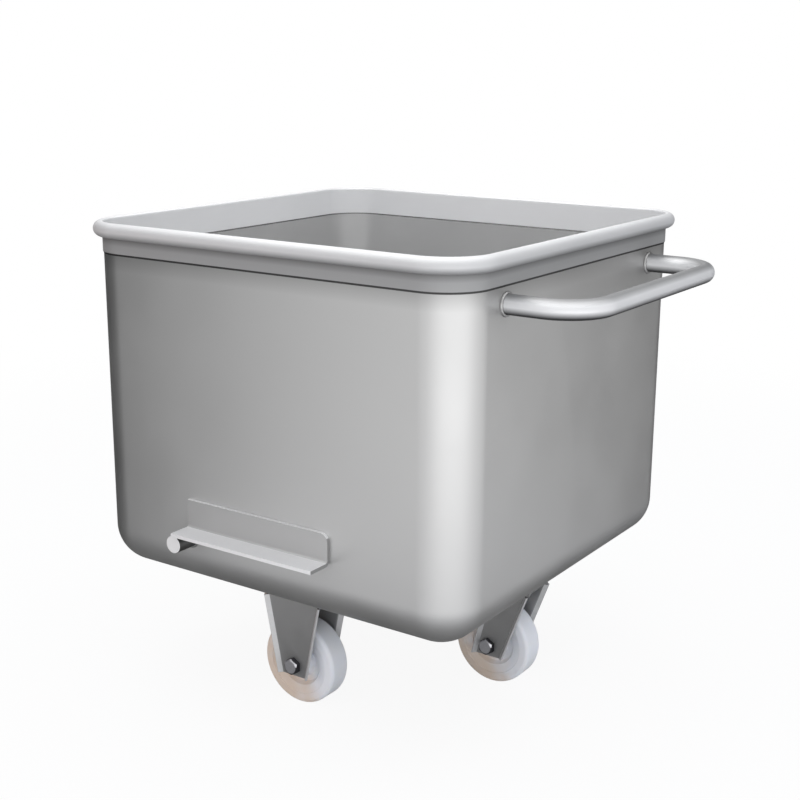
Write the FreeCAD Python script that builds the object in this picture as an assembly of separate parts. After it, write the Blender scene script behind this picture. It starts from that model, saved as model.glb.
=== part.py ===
"""Stainless meat trolley bin of about 200 litres on two fixed and two swivel casters.

Millimetres, +Z up, the floor at z = 0. The origin lies on the floor under the middle of the
whole trolley, handle included. The handle is at +X, the fixed casters are on the -Y (left)
and +Y (right) sides, and the swivel casters are at -X (front) and +X (rear).
"""
import FreeCAD, Part
import os
from math import cos, radians, sin, sqrt, tan

Vector = FreeCAD.Vector
ORIGIN = Vector(0, 0, 0)
X_AXIS = Vector(1, 0, 0)
Y_AXIS = Vector(0, 1, 0)
Z_AXIS = Vector(0, 0, 1)

# Tub and rim
RIM_WIDTH = 660.0          # outside of the rolled rim, square in plan
RIM_TOP = 690.0            # height of the rim above the floor
SHEET = 2.0                # sheet of the tub and the collar
BEAD_OVERHANG = 12.65      # rolled rim beyond the collar's outer face
BEAD_R = 11.0              # outer roll of the rim
BEAD_SLIT = 0.8            # seam between the end of the roll and the collar
COLLAR_DEPTH = 43.0        # rim top down to the start of the joggle
JOGGLE = 1.3               # how far the collar stands out from the tub wall
JOGGLE_HEIGHT = 3.0
CORNER_R = 62.0            # outside radius of the tub's upright corners
BASE_R = 60.0              # outside radius where the walls run into the base

# Casters, common sizes
WHEEL_R = 62.5
WHEEL_WIDTH = 38.0
CASTER_HEIGHT = 170.0      # floor to the underside of the welded pads
PAD = 5.0                  # pad plate welded under the tub
FORK_SHEET = 3.0
FORK_WIDTH = 60.0          # across the outer faces of the two legs
FORK_BEND_R = 4.0          # inside bend between crown and leg
LEG_BELOW_AXLE = 16.0
FLARE = 7.0                # flared edge strip of a leg
FLARE_ANGLE = 45.0
FLARE_BEND_R = 2.0
LEG_FOOT_HALF = 18.5       # half of the flat of a leg at its foot

# Wheel
WHEEL_SHOULDER_R = 6.0
WHEEL_BAND_IN_R = 48.0     # inner edge of the flat outer band
WHEEL_LIP = 0.8            # moulded lip inside the band
WHEEL_DISH_R = 35.0        # edge of the recess round the hub
WHEEL_DISH_DROP = 2.5
WHEEL_WEB = 18.0           # thickness of the web
WHEEL_DRAFT = 2.0
HUB_R = 21.5
HUB_END_R = 18.5
HUB_GAP = 0.5              # free play between hub and thrust washer
BUSH_WALL = 2.5
HUB_CHAMFER = 1.0

# Axle
AXLE_R = 7.0               # M14 bolt
AXLE_PLAY = 0.2            # bolt in sleeve and in the legs
SLEEVE_R = 10.0
RUNNING_FIT = 0.08         # bush on sleeve
THRUST_WASHER = 2.0
THRUST_WASHER_R = 17.0
SLIP_FIT = 0.1             # rings and washers on what they sit on
AXLE_HEX = 22.0            # across flats
AXLE_HEAD = 8.8
AXLE_NUT = 11.0
AXLE_WASHER_R = 14.0
AXLE_WASHER = 2.5
THREAD_RUNOUT = 2.5        # bolt or stud beyond its nut

# Fixed casters
FIXED_INSET = 97.0         # caster centre in from the tub's side
FIXED_TOP_HALF = 42.5      # half of the flat of a leg at the crown
PAD_MARGIN = 4.0           # pad beyond the crown, lengthwise
PAD_SIDE_MARGIN = 2.0      # pad beyond the crown, crosswise
PAD_CORNER_R = 8.0
STUD_R = 4.0               # M8
STUD_X = 36.0
STUD_Y = 14.0
STUD_HEX = 13.0
STUD_NUT = 8.0
STUD_WASHER_R = 8.0
STUD_WASHER = 1.6
STUD_PLAY = 0.25

# Swivel casters
SWIVEL_INSET = 86.0        # swivel axis in from the tub's end
TRAIL = 34.0               # wheel axle behind the swivel axis
SWIVEL_TOP_HALF = 25.0
SWIVEL_PAD_R = 34.0
HEAD_R = 32.0
HEAD_PLATE = 3.0
HEAD_SKIRT = 3.0           # depth of the skirt round the upper balls
HEAD_SKIRT_WALL = 2.0
HEAD_HUB_R = 10.0
RACE_GAP = 4.0             # crown to race plate, above and below
BALL_R = 3.0
BALL_SEAT = 0.1            # ball to the fixed races
BALL_PLAY = 0.3            # ball to the turning crown
UPPER_ROW_R = 23.5
LOWER_ROW_R = 17.0
UPPER_BALLS = 16
LOWER_BALLS = 12
CROWN_HOLE_PLAY = 1.0
RACE_R = 22.0
RACE_PLATE = 3.0
KING_R = 6.0               # M12 stud
KING_PLAY = 0.2
KING_HEX = 19.0
KING_NUT = 10.0
KING_WASHER_R = 12.0
KING_WASHER = 2.5

# Handle
HANDLE_R = 13.45           # 26.9 mm tube
HANDLE_WALL = 2.0
HANDLE_INSET = 105.0       # tube centre in from the tub's side
HANDLE_BELOW_RIM = 68.0
HANDLE_REACH = 109.0       # tub wall to the middle of the grip bar
HANDLE_BEND_R = 60.0
WELD_RING = 3.5            # length of the weld ring along the tube
WELD_RING_R = 17.0
WELD_RING_END_R = 14.5

# Lifting rails and pegs
RAIL_LENGTH = 248.0
RAIL_MIDDLE = -6.0         # middle of the rail, from the middle of the tub
RAIL_ABOVE_BASE = 90.0     # tub underside to rail underside
RAIL_HEIGHT = 45.0
RAIL_DEPTH = 41.0
RAIL_PLATE = 5.0
RAIL_BEND_R = 4.0
RAIL_CORNER_R = 12.0
RAIL_SEAT_GAP = 2.0        # peg to the stretch of the shelf that a lifting fork bears on
PEG_R = 13.0
PEG_LENGTH = 37.0
PEG_CHAMFER = 1.0

# Sizes that follow
COLLAR_HALF = RIM_WIDTH / 2 - BEAD_OVERHANG
BODY_HALF = COLLAR_HALF - JOGGLE
BASE_Z = CASTER_HEIGHT + PAD
WALL_TOP = RIM_TOP - COLLAR_DEPTH - JOGGLE_HEIGHT
HANDLE_TIP = BODY_HALF + HANDLE_REACH + HANDLE_R
TUB_X = -(HANDLE_TIP - RIM_WIDTH / 2) / 2
FORK_GAP = FORK_WIDTH - 2 * FORK_SHEET
HUB_LENGTH = FORK_GAP - 2 * (THRUST_WASHER + HUB_GAP)
LEG_FOOT_Z = WHEEL_R - LEG_BELOW_AXLE
FLARE_SPREAD = ((FLARE_BEND_R + FORK_SHEET) * sin(radians(FLARE_ANGLE))
                + FLARE * cos(radians(FLARE_ANGLE)))
FIXED_CROWN_HALF = FIXED_TOP_HALF + FLARE_SPREAD
SWIVEL_CROWN_HALF = SWIVEL_TOP_HALF + FLARE_SPREAD
FIXED_Y = BODY_HALF - FIXED_INSET
SWIVEL_X = BODY_HALF - SWIVEL_INSET
HEAD_BOTTOM = CASTER_HEIGHT - HEAD_PLATE
CROWN_TOP = HEAD_BOTTOM - RACE_GAP
CROWN_BOTTOM = CROWN_TOP - FORK_SHEET
RACE_TOP = CROWN_BOTTOM - RACE_GAP
RACE_BOTTOM = RACE_TOP - RACE_PLATE


def rounded_square(half, radius, z):
    """Closed wire of a square of half side `half` with round corners, starting mid +X side."""
    straight = half - radius
    edges = [Part.makeLine(Vector(half, 0, z), Vector(half, straight, z))]
    for turn in range(4):
        start = 90.0 * turn
        turned = FreeCAD.Rotation(Z_AXIS, start)
        centre = turned.multVec(Vector(straight, straight, 0)) + Vector(0, 0, z)
        edges.append(Part.makeCircle(radius, centre, Z_AXIS, start, start + 90.0))
        near = turned.multVec(Vector(straight, half, 0)) + Vector(0, 0, z)
        far_x = 0.0 if turn == 3 else -straight
        far = turned.multVec(Vector(far_x, half, 0)) + Vector(0, 0, z)
        edges.append(Part.makeLine(near, far))
    return Part.Wire(edges)


def square_block(half, radius, bottom, top):
    """Upright block with the plan of rounded_square."""
    face = Part.Face(rounded_square(half, radius, bottom))
    return face.extrude(Vector(0, 0, top - bottom))


def dished_block(half, corner_r, base_r, bottom, top):
    """Upright block whose bottom edge is rounded all the way round."""
    block = square_block(half, corner_r, bottom, top + base_r)
    rim = [edge for edge in block.Edges if edge.BoundBox.ZMax < bottom + 0.01]
    rounded = block.makeFillet(base_r, rim)
    keep = square_block(half + base_r, corner_r, bottom - base_r, top)
    return rounded.common(keep)


def ring(outer_r, inner_r, bottom, height):
    """Upright ring, or a disc when inner_r is 0."""
    body = Part.makeCylinder(outer_r, height, Vector(0, 0, bottom))
    if inner_r <= 0:
        return body
    return body.cut(Part.makeCylinder(inner_r, height, Vector(0, 0, bottom)))


def turned_solid(points, axis=Z_AXIS):
    """Solid turned about an axis through the origin from corner points given in order."""
    face = Part.Face(Part.makePolygon(points + points[:1]))
    return face.revolve(ORIGIN, axis, 360)


def hexagon(across_flats, bottom, height, chamfer_top=True):
    """Hexagon bar piece with its corners chamfered on the free end."""
    corner_r = across_flats / sqrt(3)
    corners = [Vector(corner_r * cos(radians(60 * i)), corner_r * sin(radians(60 * i)), bottom)
               for i in range(7)]
    bar = Part.Face(Part.makePolygon(corners)).extrude(Vector(0, 0, height))
    face_r = across_flats * 0.475
    drop = (corner_r - face_r) * tan(radians(30))
    if not chamfer_top:
        return bar
    top = bottom + height
    envelope = turned_solid([Vector(0, 0, bottom), Vector(corner_r + 1, 0, bottom),
                             Vector(corner_r + 1, 0, top - drop), Vector(corner_r, 0, top - drop),
                             Vector(face_r, 0, top), Vector(0, 0, top)])
    return bar.common(envelope)


def nut(across_flats, thread_r, bottom, height):
    """Hexagon nut with its thread drawn as a plain bore."""
    body = hexagon(across_flats, bottom, height)
    return body.cut(Part.makeCylinder(thread_r, height, Vector(0, 0, bottom)))


def hang(shape, top):
    """Turn an upright piece built from z = 0 upside down, so that it hangs from z = top."""
    flipped = shape.copy()
    flipped.rotate(ORIGIN, X_AXIS, 180)
    flipped.translate(Vector(0, 0, top))
    return flipped


def lay_on_axle(shape):
    """Turn a piece built along +Z to lie along -Y at axle height."""
    laid = shape.copy()
    laid.rotate(ORIGIN, X_AXIS, 90)
    laid.translate(Vector(0, 0, WHEEL_R))
    return laid


def tub_wall():
    """The four upright walls with their round corners."""
    bottom = BASE_Z + BASE_R
    outer = square_block(BODY_HALF, CORNER_R, bottom, WALL_TOP)
    inner = square_block(BODY_HALF - SHEET, CORNER_R - SHEET, bottom, WALL_TOP)
    return outer.cut(inner)


def tub_base():
    """The pressed base pan, welded to the walls and ground flush."""
    top = BASE_Z + BASE_R
    outer = dished_block(BODY_HALF, CORNER_R, BASE_R, BASE_Z, top)
    inner = dished_block(BODY_HALF - SHEET, CORNER_R - SHEET, BASE_R - SHEET,
                         BASE_Z + SHEET, top)
    return outer.cut(inner)


def rim_profile():
    """Closed section of collar and rolled rim, drawn at the middle of the +X side."""
    outer = COLLAR_HALF
    inner = COLLAR_HALF - SHEET
    roll_x = RIM_WIDTH / 2 - BEAD_R
    roll_z = RIM_TOP - BEAD_R
    turn_r = roll_x - inner
    hollow_r = BEAD_R - SHEET
    tight_r = turn_r - SHEET
    bottom = WALL_TOP
    step = WALL_TOP + JOGGLE_HEIGHT
    slit_x = outer + BEAD_SLIT
    half = sqrt(0.5)

    def at(x, z):
        return Vector(x, 0, z)

    return Part.Wire([
        Part.makeLine(at(BODY_HALF - SHEET, bottom), at(inner, step)),
        Part.makeLine(at(inner, step), at(inner, RIM_TOP - turn_r)),
        Part.Arc(at(inner, RIM_TOP - turn_r),
                 at(roll_x - turn_r * half, RIM_TOP - turn_r + turn_r * half),
                 at(roll_x, RIM_TOP)).toShape(),
        Part.Arc(at(roll_x, RIM_TOP), at(roll_x + BEAD_R, roll_z),
                 at(roll_x, roll_z - BEAD_R)).toShape(),
        Part.makeLine(at(roll_x, roll_z - BEAD_R), at(slit_x, roll_z - BEAD_R)),
        Part.makeLine(at(slit_x, roll_z - BEAD_R), at(slit_x, roll_z - hollow_r)),
        Part.makeLine(at(slit_x, roll_z - hollow_r), at(roll_x, roll_z - hollow_r)),
        Part.Arc(at(roll_x, roll_z - hollow_r), at(roll_x + hollow_r, roll_z),
                 at(roll_x, roll_z + hollow_r)).toShape(),
        Part.Arc(at(roll_x, roll_z + hollow_r),
                 at(roll_x - tight_r * half, RIM_TOP - turn_r + tight_r * half),
                 at(outer, RIM_TOP - turn_r)).toShape(),
        Part.makeLine(at(outer, RIM_TOP - turn_r), at(outer, step)),
        Part.makeLine(at(outer, step), at(BODY_HALF, bottom)),
        Part.makeLine(at(BODY_HALF, bottom), at(BODY_HALF - SHEET, bottom)),
    ])


def rim_collar():
    """The collar band with its rolled rim, swept round the tub."""
    section = Part.Face(rim_profile())
    centre = COLLAR_HALF - CORNER_R - JOGGLE
    side = section.extrude(Vector(0, 2 * centre, 0))
    side.translate(Vector(0, -centre, 0))
    corner = section.copy()
    corner.translate(Vector(0, centre, 0))
    corner = corner.revolve(Vector(centre, centre, 0), Z_AXIS, 90)
    quarters = []
    for turn in range(4):
        for piece in (side, corner):
            placed = piece.copy()
            placed.rotate(ORIGIN, Z_AXIS, 90 * turn)
            quarters.append(placed)
    return quarters[0].fuse(quarters[1:]).removeSplitter()


def handle_path(z):
    """Middle line of the bent handle, from wall to wall."""
    bar_x = BODY_HALF + HANDLE_REACH
    leg_y = BODY_HALF - HANDLE_INSET
    bend_x = bar_x - HANDLE_BEND_R
    bend_y = leg_y - HANDLE_BEND_R
    reach = HANDLE_BEND_R * sqrt(0.5)
    edges = [Part.makeLine(Vector(BODY_HALF, -leg_y, z), Vector(bend_x, -leg_y, z))]
    edges.append(Part.Arc(Vector(bend_x, -leg_y, z), Vector(bend_x + reach, -bend_y - reach, z),
                          Vector(bar_x, -bend_y, z)).toShape())
    edges.append(Part.makeLine(Vector(bar_x, -bend_y, z), Vector(bar_x, bend_y, z)))
    edges.append(Part.Arc(Vector(bar_x, bend_y, z), Vector(bend_x + reach, bend_y + reach, z),
                          Vector(bend_x, leg_y, z)).toShape())
    edges.append(Part.makeLine(Vector(bend_x, leg_y, z), Vector(BODY_HALF, leg_y, z)))
    return Part.Wire(edges)


def push_handle():
    """Bent tube welded to the rear wall by its two ends."""
    z = RIM_TOP - HANDLE_BELOW_RIM
    leg_y = BODY_HALF - HANDLE_INSET
    start = Vector(BODY_HALF, -leg_y, z)
    path = handle_path(z)
    skins = []
    for radius in (HANDLE_R, HANDLE_R - HANDLE_WALL):
        section = Part.Wire(Part.makeCircle(radius, start, X_AXIS))
        skins.append(path.makePipeShell([section], True, False))
    return skins[0].cut(skins[1])


def handle_weld_rings():
    """Raised weld ring at each root of the handle."""
    z = RIM_TOP - HANDLE_BELOW_RIM
    leg_y = BODY_HALF - HANDLE_INSET
    bore_r = HANDLE_R + SLIP_FIT
    blank = turned_solid([Vector(bore_r, 0, 0), Vector(WELD_RING_R, 0, 0),
                          Vector(WELD_RING_END_R, 0, WELD_RING), Vector(bore_r, 0, WELD_RING)])
    blank.rotate(ORIGIN, Y_AXIS, 90)
    rings = []
    for side in (-1, 1):
        placed = blank.copy()
        placed.translate(Vector(BODY_HALF, side * leg_y, z))
        rings.append(placed)
    return Part.makeCompound(rings)


def lifting_rail():
    """Folded angle on the left wall: upright flange and a shelf for a lifting fork.

    It is drawn in two stretches, over the peg and behind it. The seam between them marks off
    the face that the fork bears on, which the peg doesn't reach.
    """
    left = RAIL_MIDDLE - RAIL_LENGTH / 2
    right = RAIL_MIDDLE + RAIL_LENGTH / 2
    wall = -BODY_HALF
    bottom = BASE_Z + RAIL_ABOVE_BASE
    top = bottom + RAIL_HEIGHT
    face = wall - RAIL_PLATE
    shelf_top = bottom + RAIL_PLATE
    front = wall - RAIL_DEPTH
    fold_r = RAIL_BEND_R + RAIL_PLATE
    fold = Vector(left, wall - fold_r, bottom + fold_r)
    half = sqrt(0.5)

    def at(y, z):
        return Vector(left, y, z)

    section = Part.Wire([
        Part.makeLine(at(wall, top), at(wall, fold.z)),
        Part.Arc(at(wall, fold.z), at(fold.y + fold_r * half, fold.z - fold_r * half),
                 at(fold.y, bottom)).toShape(),
        Part.makeLine(at(fold.y, bottom), at(front, bottom)),
        Part.makeLine(at(front, bottom), at(front, shelf_top)),
        Part.makeLine(at(front, shelf_top), at(fold.y, shelf_top)),
        Part.Arc(at(fold.y, shelf_top),
                 at(fold.y + RAIL_BEND_R * half, fold.z - RAIL_BEND_R * half),
                 at(face, fold.z)).toShape(),
        Part.makeLine(at(face, fold.z), at(face, top)),
        Part.makeLine(at(face, top), at(wall, top)),
    ])
    seat_start = Vector(PEG_R + RAIL_SEAT_GAP, 0, 0)
    over_peg = Part.Face(section).extrude(seat_start)
    section.translate(seat_start)
    seat = Part.Face(section).extrude(Vector(right - left, 0, 0) - seat_start)
    corner = [edge for edge in seat.Edges
              if edge.BoundBox.XMin > right - 0.01 and edge.BoundBox.ZMin > top - 0.01]
    return over_peg.fuse(seat.makeFillet(RAIL_CORNER_R, corner)).Solids[0]


def tipping_peg():
    """Round bar under the front end of the left rail, for a tipping hoist."""
    bottom = BASE_Z + RAIL_ABOVE_BASE
    profile = [Vector(0, 0, 0), Vector(PEG_R, 0, 0), Vector(PEG_R, 0, PEG_LENGTH - PEG_CHAMFER),
               Vector(PEG_R - PEG_CHAMFER, 0, PEG_LENGTH), Vector(0, 0, PEG_LENGTH)]
    peg = turned_solid(profile)
    peg.rotate(ORIGIN, X_AXIS, 90)
    peg.translate(Vector(RAIL_MIDDLE - RAIL_LENGTH / 2, -BODY_HALF, bottom - PEG_R))
    return peg


def leg_section(middle_x, half, z):
    """Level section through the left leg: flat web with both edges flared outwards."""
    outer_y = -FORK_WIDTH / 2
    angle = radians(FLARE_ANGLE)

    def bend(side, radius, turn):
        x = middle_x + side * (half + radius * sin(turn))
        return Vector(x, outer_y - FLARE_BEND_R + radius * cos(turn), z)

    def tip(side, radius):
        end = bend(side, radius, angle)
        return end + Vector(side * FLARE * cos(angle), -FLARE * sin(angle), 0)

    small = FLARE_BEND_R
    large = FLARE_BEND_R + FORK_SHEET
    return Part.Wire([
        Part.makeLine(tip(-1, small), bend(-1, small, angle)),
        Part.Arc(bend(-1, small, angle), bend(-1, small, angle / 2), bend(-1, small, 0)).toShape(),
        Part.makeLine(bend(-1, small, 0), bend(1, small, 0)),
        Part.Arc(bend(1, small, 0), bend(1, small, angle / 2), bend(1, small, angle)).toShape(),
        Part.makeLine(bend(1, small, angle), tip(1, small)),
        Part.makeLine(tip(1, small), tip(1, large)),
        Part.makeLine(tip(1, large), bend(1, large, angle)),
        Part.Arc(bend(1, large, angle), bend(1, large, angle / 2), bend(1, large, 0)).toShape(),
        Part.makeLine(bend(1, large, 0), bend(-1, large, 0)),
        Part.Arc(bend(-1, large, 0), bend(-1, large, angle / 2), bend(-1, large, angle)).toShape(),
        Part.makeLine(bend(-1, large, angle), tip(-1, large)),
        Part.makeLine(tip(-1, large), tip(-1, small)),
    ])


def crown_profile(x, top):
    """Section across the crown: flat top folded down on both sides, as far as the legs."""
    outer = FORK_WIDTH / 2
    inner = outer - FORK_SHEET
    fold_r = FORK_BEND_R + FORK_SHEET
    fold_z = top - fold_r
    fold_y = outer - fold_r
    half = sqrt(0.5)

    def at(y, z):
        return Vector(x, y, z)

    def arc(side, radius):
        return Part.Arc(at(side * (fold_y + radius), fold_z),
                        at(side * (fold_y + radius * half), fold_z + radius * half),
                        at(side * fold_y, fold_z + radius)).toShape()

    return Part.Wire([
        arc(-1, fold_r),
        Part.makeLine(at(-fold_y, top), at(fold_y, top)),
        arc(1, fold_r),
        Part.makeLine(at(outer, fold_z), at(inner, fold_z)),
        arc(1, FORK_BEND_R),
        Part.makeLine(at(fold_y, top - FORK_SHEET), at(-fold_y, top - FORK_SHEET)),
        arc(-1, FORK_BEND_R),
        Part.makeLine(at(-inner, fold_z), at(-outer, fold_z)),
    ])


def fork(top, top_half, axle_x):
    """Pressed fork: folded crown and two tapered legs, drilled for the axle at axle_x."""
    crown_half = top_half + FLARE_SPREAD
    crown = Part.Face(crown_profile(-crown_half, top)).extrude(Vector(2 * crown_half, 0, 0))
    leg_top = top - FORK_BEND_R - FORK_SHEET
    left = Part.makeLoft([leg_section(axle_x, LEG_FOOT_HALF, LEG_FOOT_Z),
                          leg_section(0, top_half, leg_top)], True, True)
    right = left.mirror(ORIGIN, Y_AXIS)
    drill = Part.makeCylinder(AXLE_R + AXLE_PLAY, 2 * FORK_WIDTH,
                              Vector(axle_x, -FORK_WIDTH, WHEEL_R), Y_AXIS)
    return crown.fuse([left, right]).removeSplitter().cut(drill)


def fixed_fork():
    """Fork of a fixed caster, with four holes in its crown for the pad's studs."""
    body = fork(CASTER_HEIGHT, FIXED_TOP_HALF, 0)
    holes = [Part.makeCylinder(STUD_R + STUD_PLAY, 3 * FORK_SHEET,
                               Vector(x, y, CASTER_HEIGHT - 2 * FORK_SHEET))
             for x, y in stud_places()]
    return body.cut(holes)


def stud_places():
    """Where the four studs of a fixed caster stand, from the caster's centre."""
    return [(x, y) for x in (-STUD_X, STUD_X) for y in (-STUD_Y, STUD_Y)]


def fixed_pad():
    """Rectangular pad plate welded under the tub."""
    half_x = FIXED_CROWN_HALF + PAD_MARGIN
    half_y = FORK_WIDTH / 2 + PAD_SIDE_MARGIN
    plate = Part.makeBox(2 * half_x, 2 * half_y, PAD, Vector(-half_x, -half_y, CASTER_HEIGHT))
    uprights = [edge for edge in plate.Edges if edge.BoundBox.ZLength > PAD / 2]
    return plate.makeFillet(PAD_CORNER_R, uprights)


def stud_pieces():
    """Studs, washers and nuts that hold one fixed fork to its pad."""
    washer_top = CASTER_HEIGHT - FORK_SHEET
    nut_top = washer_top - STUD_WASHER
    length = FORK_SHEET + STUD_WASHER + STUD_NUT + THREAD_RUNOUT
    stud = hang(ring(STUD_R, 0, 0, length), CASTER_HEIGHT)
    washer = hang(ring(STUD_WASHER_R, STUD_R + STUD_PLAY, 0, STUD_WASHER), washer_top)
    hex_nut = hang(nut(STUD_HEX, STUD_R, 0, STUD_NUT), nut_top)
    sets = []
    for piece in (stud, washer, hex_nut):
        copies = []
        for x, y in stud_places():
            placed = piece.copy()
            placed.translate(Vector(x, y, 0))
            copies.append(placed)
        sets.append(copies)
    return sets


def groove(row_r, ball_play, z):
    """Ring-shaped cutter for a ball track."""
    return Part.makeTorus(row_r, BALL_R + ball_play, Vector(0, 0, z))


def upper_ball_z():
    """Height of the upper row of balls."""
    return HEAD_BOTTOM - RACE_GAP / 2


def lower_ball_z():
    """Height of the lower row of balls."""
    return CROWN_BOTTOM - RACE_GAP / 2


def swivel_fork():
    """Turning fork of a swivel caster, with ball tracks above and below its crown."""
    body = fork(CROWN_TOP, SWIVEL_TOP_HALF, -TRAIL)
    hole = Part.makeCylinder(HEAD_HUB_R + CROWN_HOLE_PLAY, 3 * FORK_SHEET,
                             Vector(0, 0, CROWN_TOP - 2 * FORK_SHEET))
    tracks = [groove(UPPER_ROW_R, BALL_PLAY, upper_ball_z()),
              groove(LOWER_ROW_R, BALL_PLAY, lower_ball_z())]
    return body.cut([hole] + tracks)


def swivel_head():
    """Upper race with its skirt and the hub that spaces the lower race."""
    plate = ring(HEAD_R, 0, HEAD_BOTTOM, HEAD_PLATE)
    skirt = ring(HEAD_R, HEAD_R - HEAD_SKIRT_WALL, HEAD_BOTTOM - HEAD_SKIRT, HEAD_SKIRT)
    hub = ring(HEAD_HUB_R, 0, RACE_TOP, HEAD_BOTTOM - RACE_TOP)
    bore = Part.makeCylinder(KING_R + KING_PLAY, CASTER_HEIGHT - RACE_TOP,
                             Vector(0, 0, RACE_TOP))
    body = plate.fuse([skirt, hub]).removeSplitter()
    return body.cut([bore, groove(UPPER_ROW_R, BALL_SEAT, upper_ball_z())])


def lower_race():
    """Race plate clamped against the hub by the king nut."""
    plate = ring(RACE_R, KING_R + KING_PLAY, RACE_BOTTOM, RACE_PLATE)
    return plate.cut(groove(LOWER_ROW_R, BALL_SEAT, lower_ball_z()))


def swivel_balls():
    """Both rows of balls."""
    rows = ((UPPER_BALLS, UPPER_ROW_R, upper_ball_z()), (LOWER_BALLS, LOWER_ROW_R, lower_ball_z()))
    balls = []
    for count, row_r, z in rows:
        for i in range(count):
            turn = radians(360.0 * i / count)
            centre = Vector(row_r * cos(turn), row_r * sin(turn), z)
            balls.append(Part.makeSphere(BALL_R, centre))
    return balls


def king_stud():
    """Threaded stud welded to the middle of a swivel pad."""
    length = CASTER_HEIGHT - RACE_BOTTOM + KING_WASHER + KING_NUT + THREAD_RUNOUT
    return hang(ring(KING_R, 0, 0, length), CASTER_HEIGHT)


def king_washer():
    """Washer under the lower race."""
    return hang(ring(KING_WASHER_R, KING_R + KING_PLAY, 0, KING_WASHER), RACE_BOTTOM)


def king_nut():
    """Nut that clamps the swivel head."""
    return hang(nut(KING_HEX, KING_R, 0, KING_NUT), RACE_BOTTOM - KING_WASHER)


def wheel():
    """Moulded wheel: rounded tread, flat band, moulded lip, dish and hub."""
    face = WHEEL_WIDTH / 2
    dish = face - WHEEL_LIP - WHEEL_DISH_DROP
    hub = HUB_LENGTH / 2
    bore_r = SLEEVE_R + RUNNING_FIT + BUSH_WALL
    shoulder_y = face - WHEEL_SHOULDER_R
    mid = WHEEL_SHOULDER_R * sqrt(0.5)
    side = [(WHEEL_R - WHEEL_SHOULDER_R, face), (WHEEL_BAND_IN_R, face),
            (WHEEL_BAND_IN_R - WHEEL_LIP, face - WHEEL_LIP), (WHEEL_DISH_R, dish),
            (WHEEL_DISH_R - WHEEL_DRAFT, WHEEL_WEB / 2), (HUB_R, WHEEL_WEB / 2),
            (HUB_END_R, hub - HUB_CHAMFER), (HUB_END_R - HUB_CHAMFER, hub), (bore_r, hub)]

    def at(r, y):
        return Vector(r, y, 0)

    def shoulder(end):
        first, last = at(WHEEL_R, end * shoulder_y), at(WHEEL_R - WHEEL_SHOULDER_R, end * face)
        middle = at(WHEEL_R - WHEEL_SHOULDER_R + mid, end * (shoulder_y + mid))
        return Part.Arc(first, middle, last).toShape()

    edges = [shoulder(1), shoulder(-1),
             Part.makeLine(at(WHEEL_R, -shoulder_y), at(WHEEL_R, shoulder_y)),
             Part.makeLine(at(bore_r, -hub), at(bore_r, hub))]
    for end in (-1, 1):
        for (r0, y0), (r1, y1) in zip(side, side[1:]):
            edges.append(Part.makeLine(at(r0, end * y0), at(r1, end * y1)))
    section = Part.Face(Part.Wire(Part.__sortEdges__(edges)))
    body = section.revolve(ORIGIN, Y_AXIS, 360)
    body.translate(Vector(0, 0, WHEEL_R))
    return body


def wheel_bush():
    """Plain bearing bush pressed into the wheel."""
    inner_r = SLEEVE_R + RUNNING_FIT
    return lay_on_axle(ring(inner_r + BUSH_WALL, inner_r, -HUB_LENGTH / 2, HUB_LENGTH))


def axle_sleeve():
    """Steel sleeve clamped between the legs, on which the wheel turns."""
    return lay_on_axle(ring(SLEEVE_R, AXLE_R + AXLE_PLAY, -FORK_GAP / 2, FORK_GAP))


def thrust_washers():
    """Washer on each side of the hub."""
    inner_r = SLEEVE_R + SLIP_FIT
    bottoms = (-FORK_GAP / 2, FORK_GAP / 2 - THRUST_WASHER)
    return [lay_on_axle(ring(THRUST_WASHER_R, inner_r, z, THRUST_WASHER)) for z in bottoms]


def axle_bolt():
    """Hexagon head bolt through both legs, its head on the outer side."""
    grip = FORK_WIDTH + AXLE_WASHER + AXLE_NUT + THREAD_RUNOUT
    head_z = FORK_WIDTH / 2
    shank = ring(AXLE_R, 0, head_z - grip, grip)
    return lay_on_axle(shank.fuse(hexagon(AXLE_HEX, head_z, AXLE_HEAD)).removeSplitter())


def axle_washer():
    """Flat washer under the axle nut."""
    top = -FORK_WIDTH / 2
    return lay_on_axle(ring(AXLE_WASHER_R, AXLE_R + AXLE_PLAY, top - AXLE_WASHER, AXLE_WASHER))


def axle_nut():
    """Nut on the inner end of the axle bolt."""
    return lay_on_axle(hang(nut(AXLE_HEX, AXLE_R, 0, AXLE_NUT), -FORK_WIDTH / 2 - AXLE_WASHER))


def axle_group():
    """Everything round one axle, by piece name, built with the axle over the origin."""
    return {
        "wheel": [wheel()],
        "wheel_bush": [wheel_bush()],
        "axle_sleeve": [axle_sleeve()],
        "thrust_washers": thrust_washers(),
        "axle_bolt": [axle_bolt()],
        "axle_washer": [axle_washer()],
        "axle_nut": [axle_nut()],
    }


def placed_at(shapes, x, y, turn):
    """Copies of caster pieces, turned about the upright axis and set down at (x, y)."""
    moved = []
    for shape in shapes:
        copy = shape.copy()
        copy.rotate(ORIGIN, Z_AXIS, turn)
        copy.translate(Vector(x, y, 0))
        moved.append(copy)
    return moved


def fixed_casters(nodes):
    """Add the two fixed casters, their axle bolts facing outwards."""
    studs, washers, nuts = stud_pieces()
    shared = {"fixed_caster_pads": [fixed_pad()], "fixed_pad_studs": studs,
              "fixed_stud_washers": washers, "fixed_stud_nuts": nuts}
    own = axle_group()
    own["fork"] = [fixed_fork()]
    for side, y, turn in (("left", -FIXED_Y, 0), ("right", FIXED_Y, 180)):
        for name, shapes in shared.items():
            nodes.setdefault(name, []).extend(placed_at(shapes, 0, y, turn))
        for name, shapes in own.items():
            nodes[name + "_" + side] = placed_at(shapes, 0, y, turn)


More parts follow.
